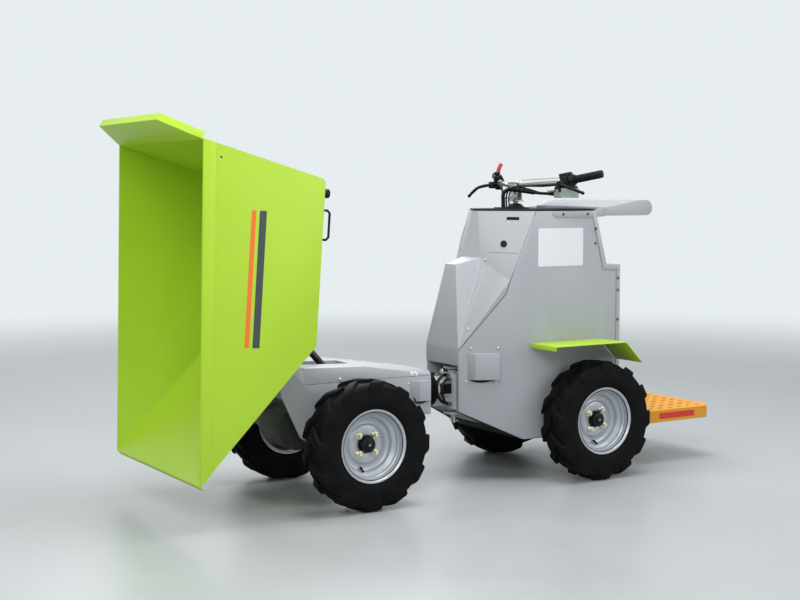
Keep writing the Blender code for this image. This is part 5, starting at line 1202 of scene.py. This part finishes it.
def makeCamera():
    lens = bpy.data.cameras.new("photoCamera")
    lens.sensor_width = 36
    lens.lens = camera["focal"] / camera["frame"] * lens.sensor_width
    lens.clip_end = 100
    obj = newObject("photoCamera", lens)
    yaw, pitch = math.radians(camera["yaw"]), math.radians(camera["pitch"])
    look = Vector((math.cos(yaw) * math.cos(pitch), math.sin(yaw) * math.cos(pitch), math.sin(pitch)))
    obj.location = at(*camera["place"])
    obj.rotation_euler = look.to_track_quat("-Z", "Y").to_euler()
    scene.camera = obj


def makeStage():
    sheet = Sheet("paleFloor")
    worn = sheet.spread(sheet.noise(1.3, 5.0, 0.6, 0.4), 0.35, 0.7)
    colour = sheet.mixed(worn, tuple(c * 0.93 for c in stage["floor"]), stage["floor"])
    sheet.finish(colour, 0.33 + worn * 0.10, Specular_IOR_Level=0.5)
    # Farther out the floor runs into the backdrop's colour
    far = sheet.add("ShaderNodeVectorMath", {"operation": "LENGTH"}, {0: sheet.places}, "Value")
    fade = sheet.add("ShaderNodeMapRange", {"interpolation_type": "SMOOTHSTEP"}, {
        "Value": far, "From Min": stage["fadeFrom"], "From Max": stage["fadeTo"]})
    glow = sheet.add("ShaderNodeEmission", {}, {"Color": stage["wall"], "Strength": 1.0})
    both = sheet.add("ShaderNodeMixShader", {}, {0: fade, 1: sheet.shader.outputs[0], 2: glow})
    sheet.feed(sheet.tree.nodes["Material Output"].inputs["Surface"], both)
    bm = bmesh.new()
    bmesh.ops.create_grid(bm, x_segments=1, y_segments=1, size=stage["half"])
    floor = fromBmesh("floor", bm)
    floor.data.materials.append(sheet.material)


def makeWorld():
    # The backdrop's colour for the camera and for reflections, a cool fill for everything else
    world = bpy.data.worlds.new("studio")
    scene.world = world
    world.use_nodes = True
    nodes, links = world.node_tree.nodes, world.node_tree.links
    light = nodes["Background"]
    light.inputs["Color"].default_value = stage["sky"]
    light.inputs["Strength"].default_value = stage["fill"]
    seen = nodes.new("ShaderNodeBackground")
    seen.inputs["Color"].default_value = (*stage["wall"], 1)
    rays = nodes.new("ShaderNodeLightPath")
    both = nodes.new("ShaderNodeMath")
    both.operation = "MAXIMUM"
    mix = nodes.new("ShaderNodeMixShader")
    for source, target in (
            (rays.outputs["Is Camera Ray"], both.inputs[0]), (rays.outputs["Is Glossy Ray"], both.inputs[1]),
            (both.outputs[0], mix.inputs[0]), (light.outputs[0], mix.inputs[1]),
            (seen.outputs[0], mix.inputs[2]), (mix.outputs[0], nodes["World Output"].inputs[0])):
        links.new(source, target)


lamps = (  # name, place, target, size, power
    ("key", (3.0, 4.2, 3.2), (0.7, 0, 0.6), 2.4, 118), ("fill", (-3.2, 4.6, 2.6), (0.4, 0, 0.6), 2.6, 72),
    ("rim", (-1.0, -4.0, 3.6), (0.6, 0, 0.7), 3.0, 90), ("top", (0.1, 0.6, 5.0), (0.5, 0, 0.5), 3.0, 200),
    ("mouth", (4.4, 0.4, 3.6), (1.3, 0, 0.5), 2.4, 62))


def makeLamps():
    for name, place, target, size, power in lamps:
        lamp = bpy.data.lights.new(name, "AREA")
        lamp.shape = "SQUARE"
        lamp.size = size
        lamp.energy = power
        obj = newObject(name, lamp)
        obj.location = place
        obj.rotation_euler = (Vector(target) - Vector(place)).to_track_quat("-Z", "Y").to_euler()


makeCamera()
makeStage()
makeWorld()
makeLamps()
makeWheels()
makeConsole()
makeSidePanels()
makeStep()
makeFront()
makeSkip()
makeBar()
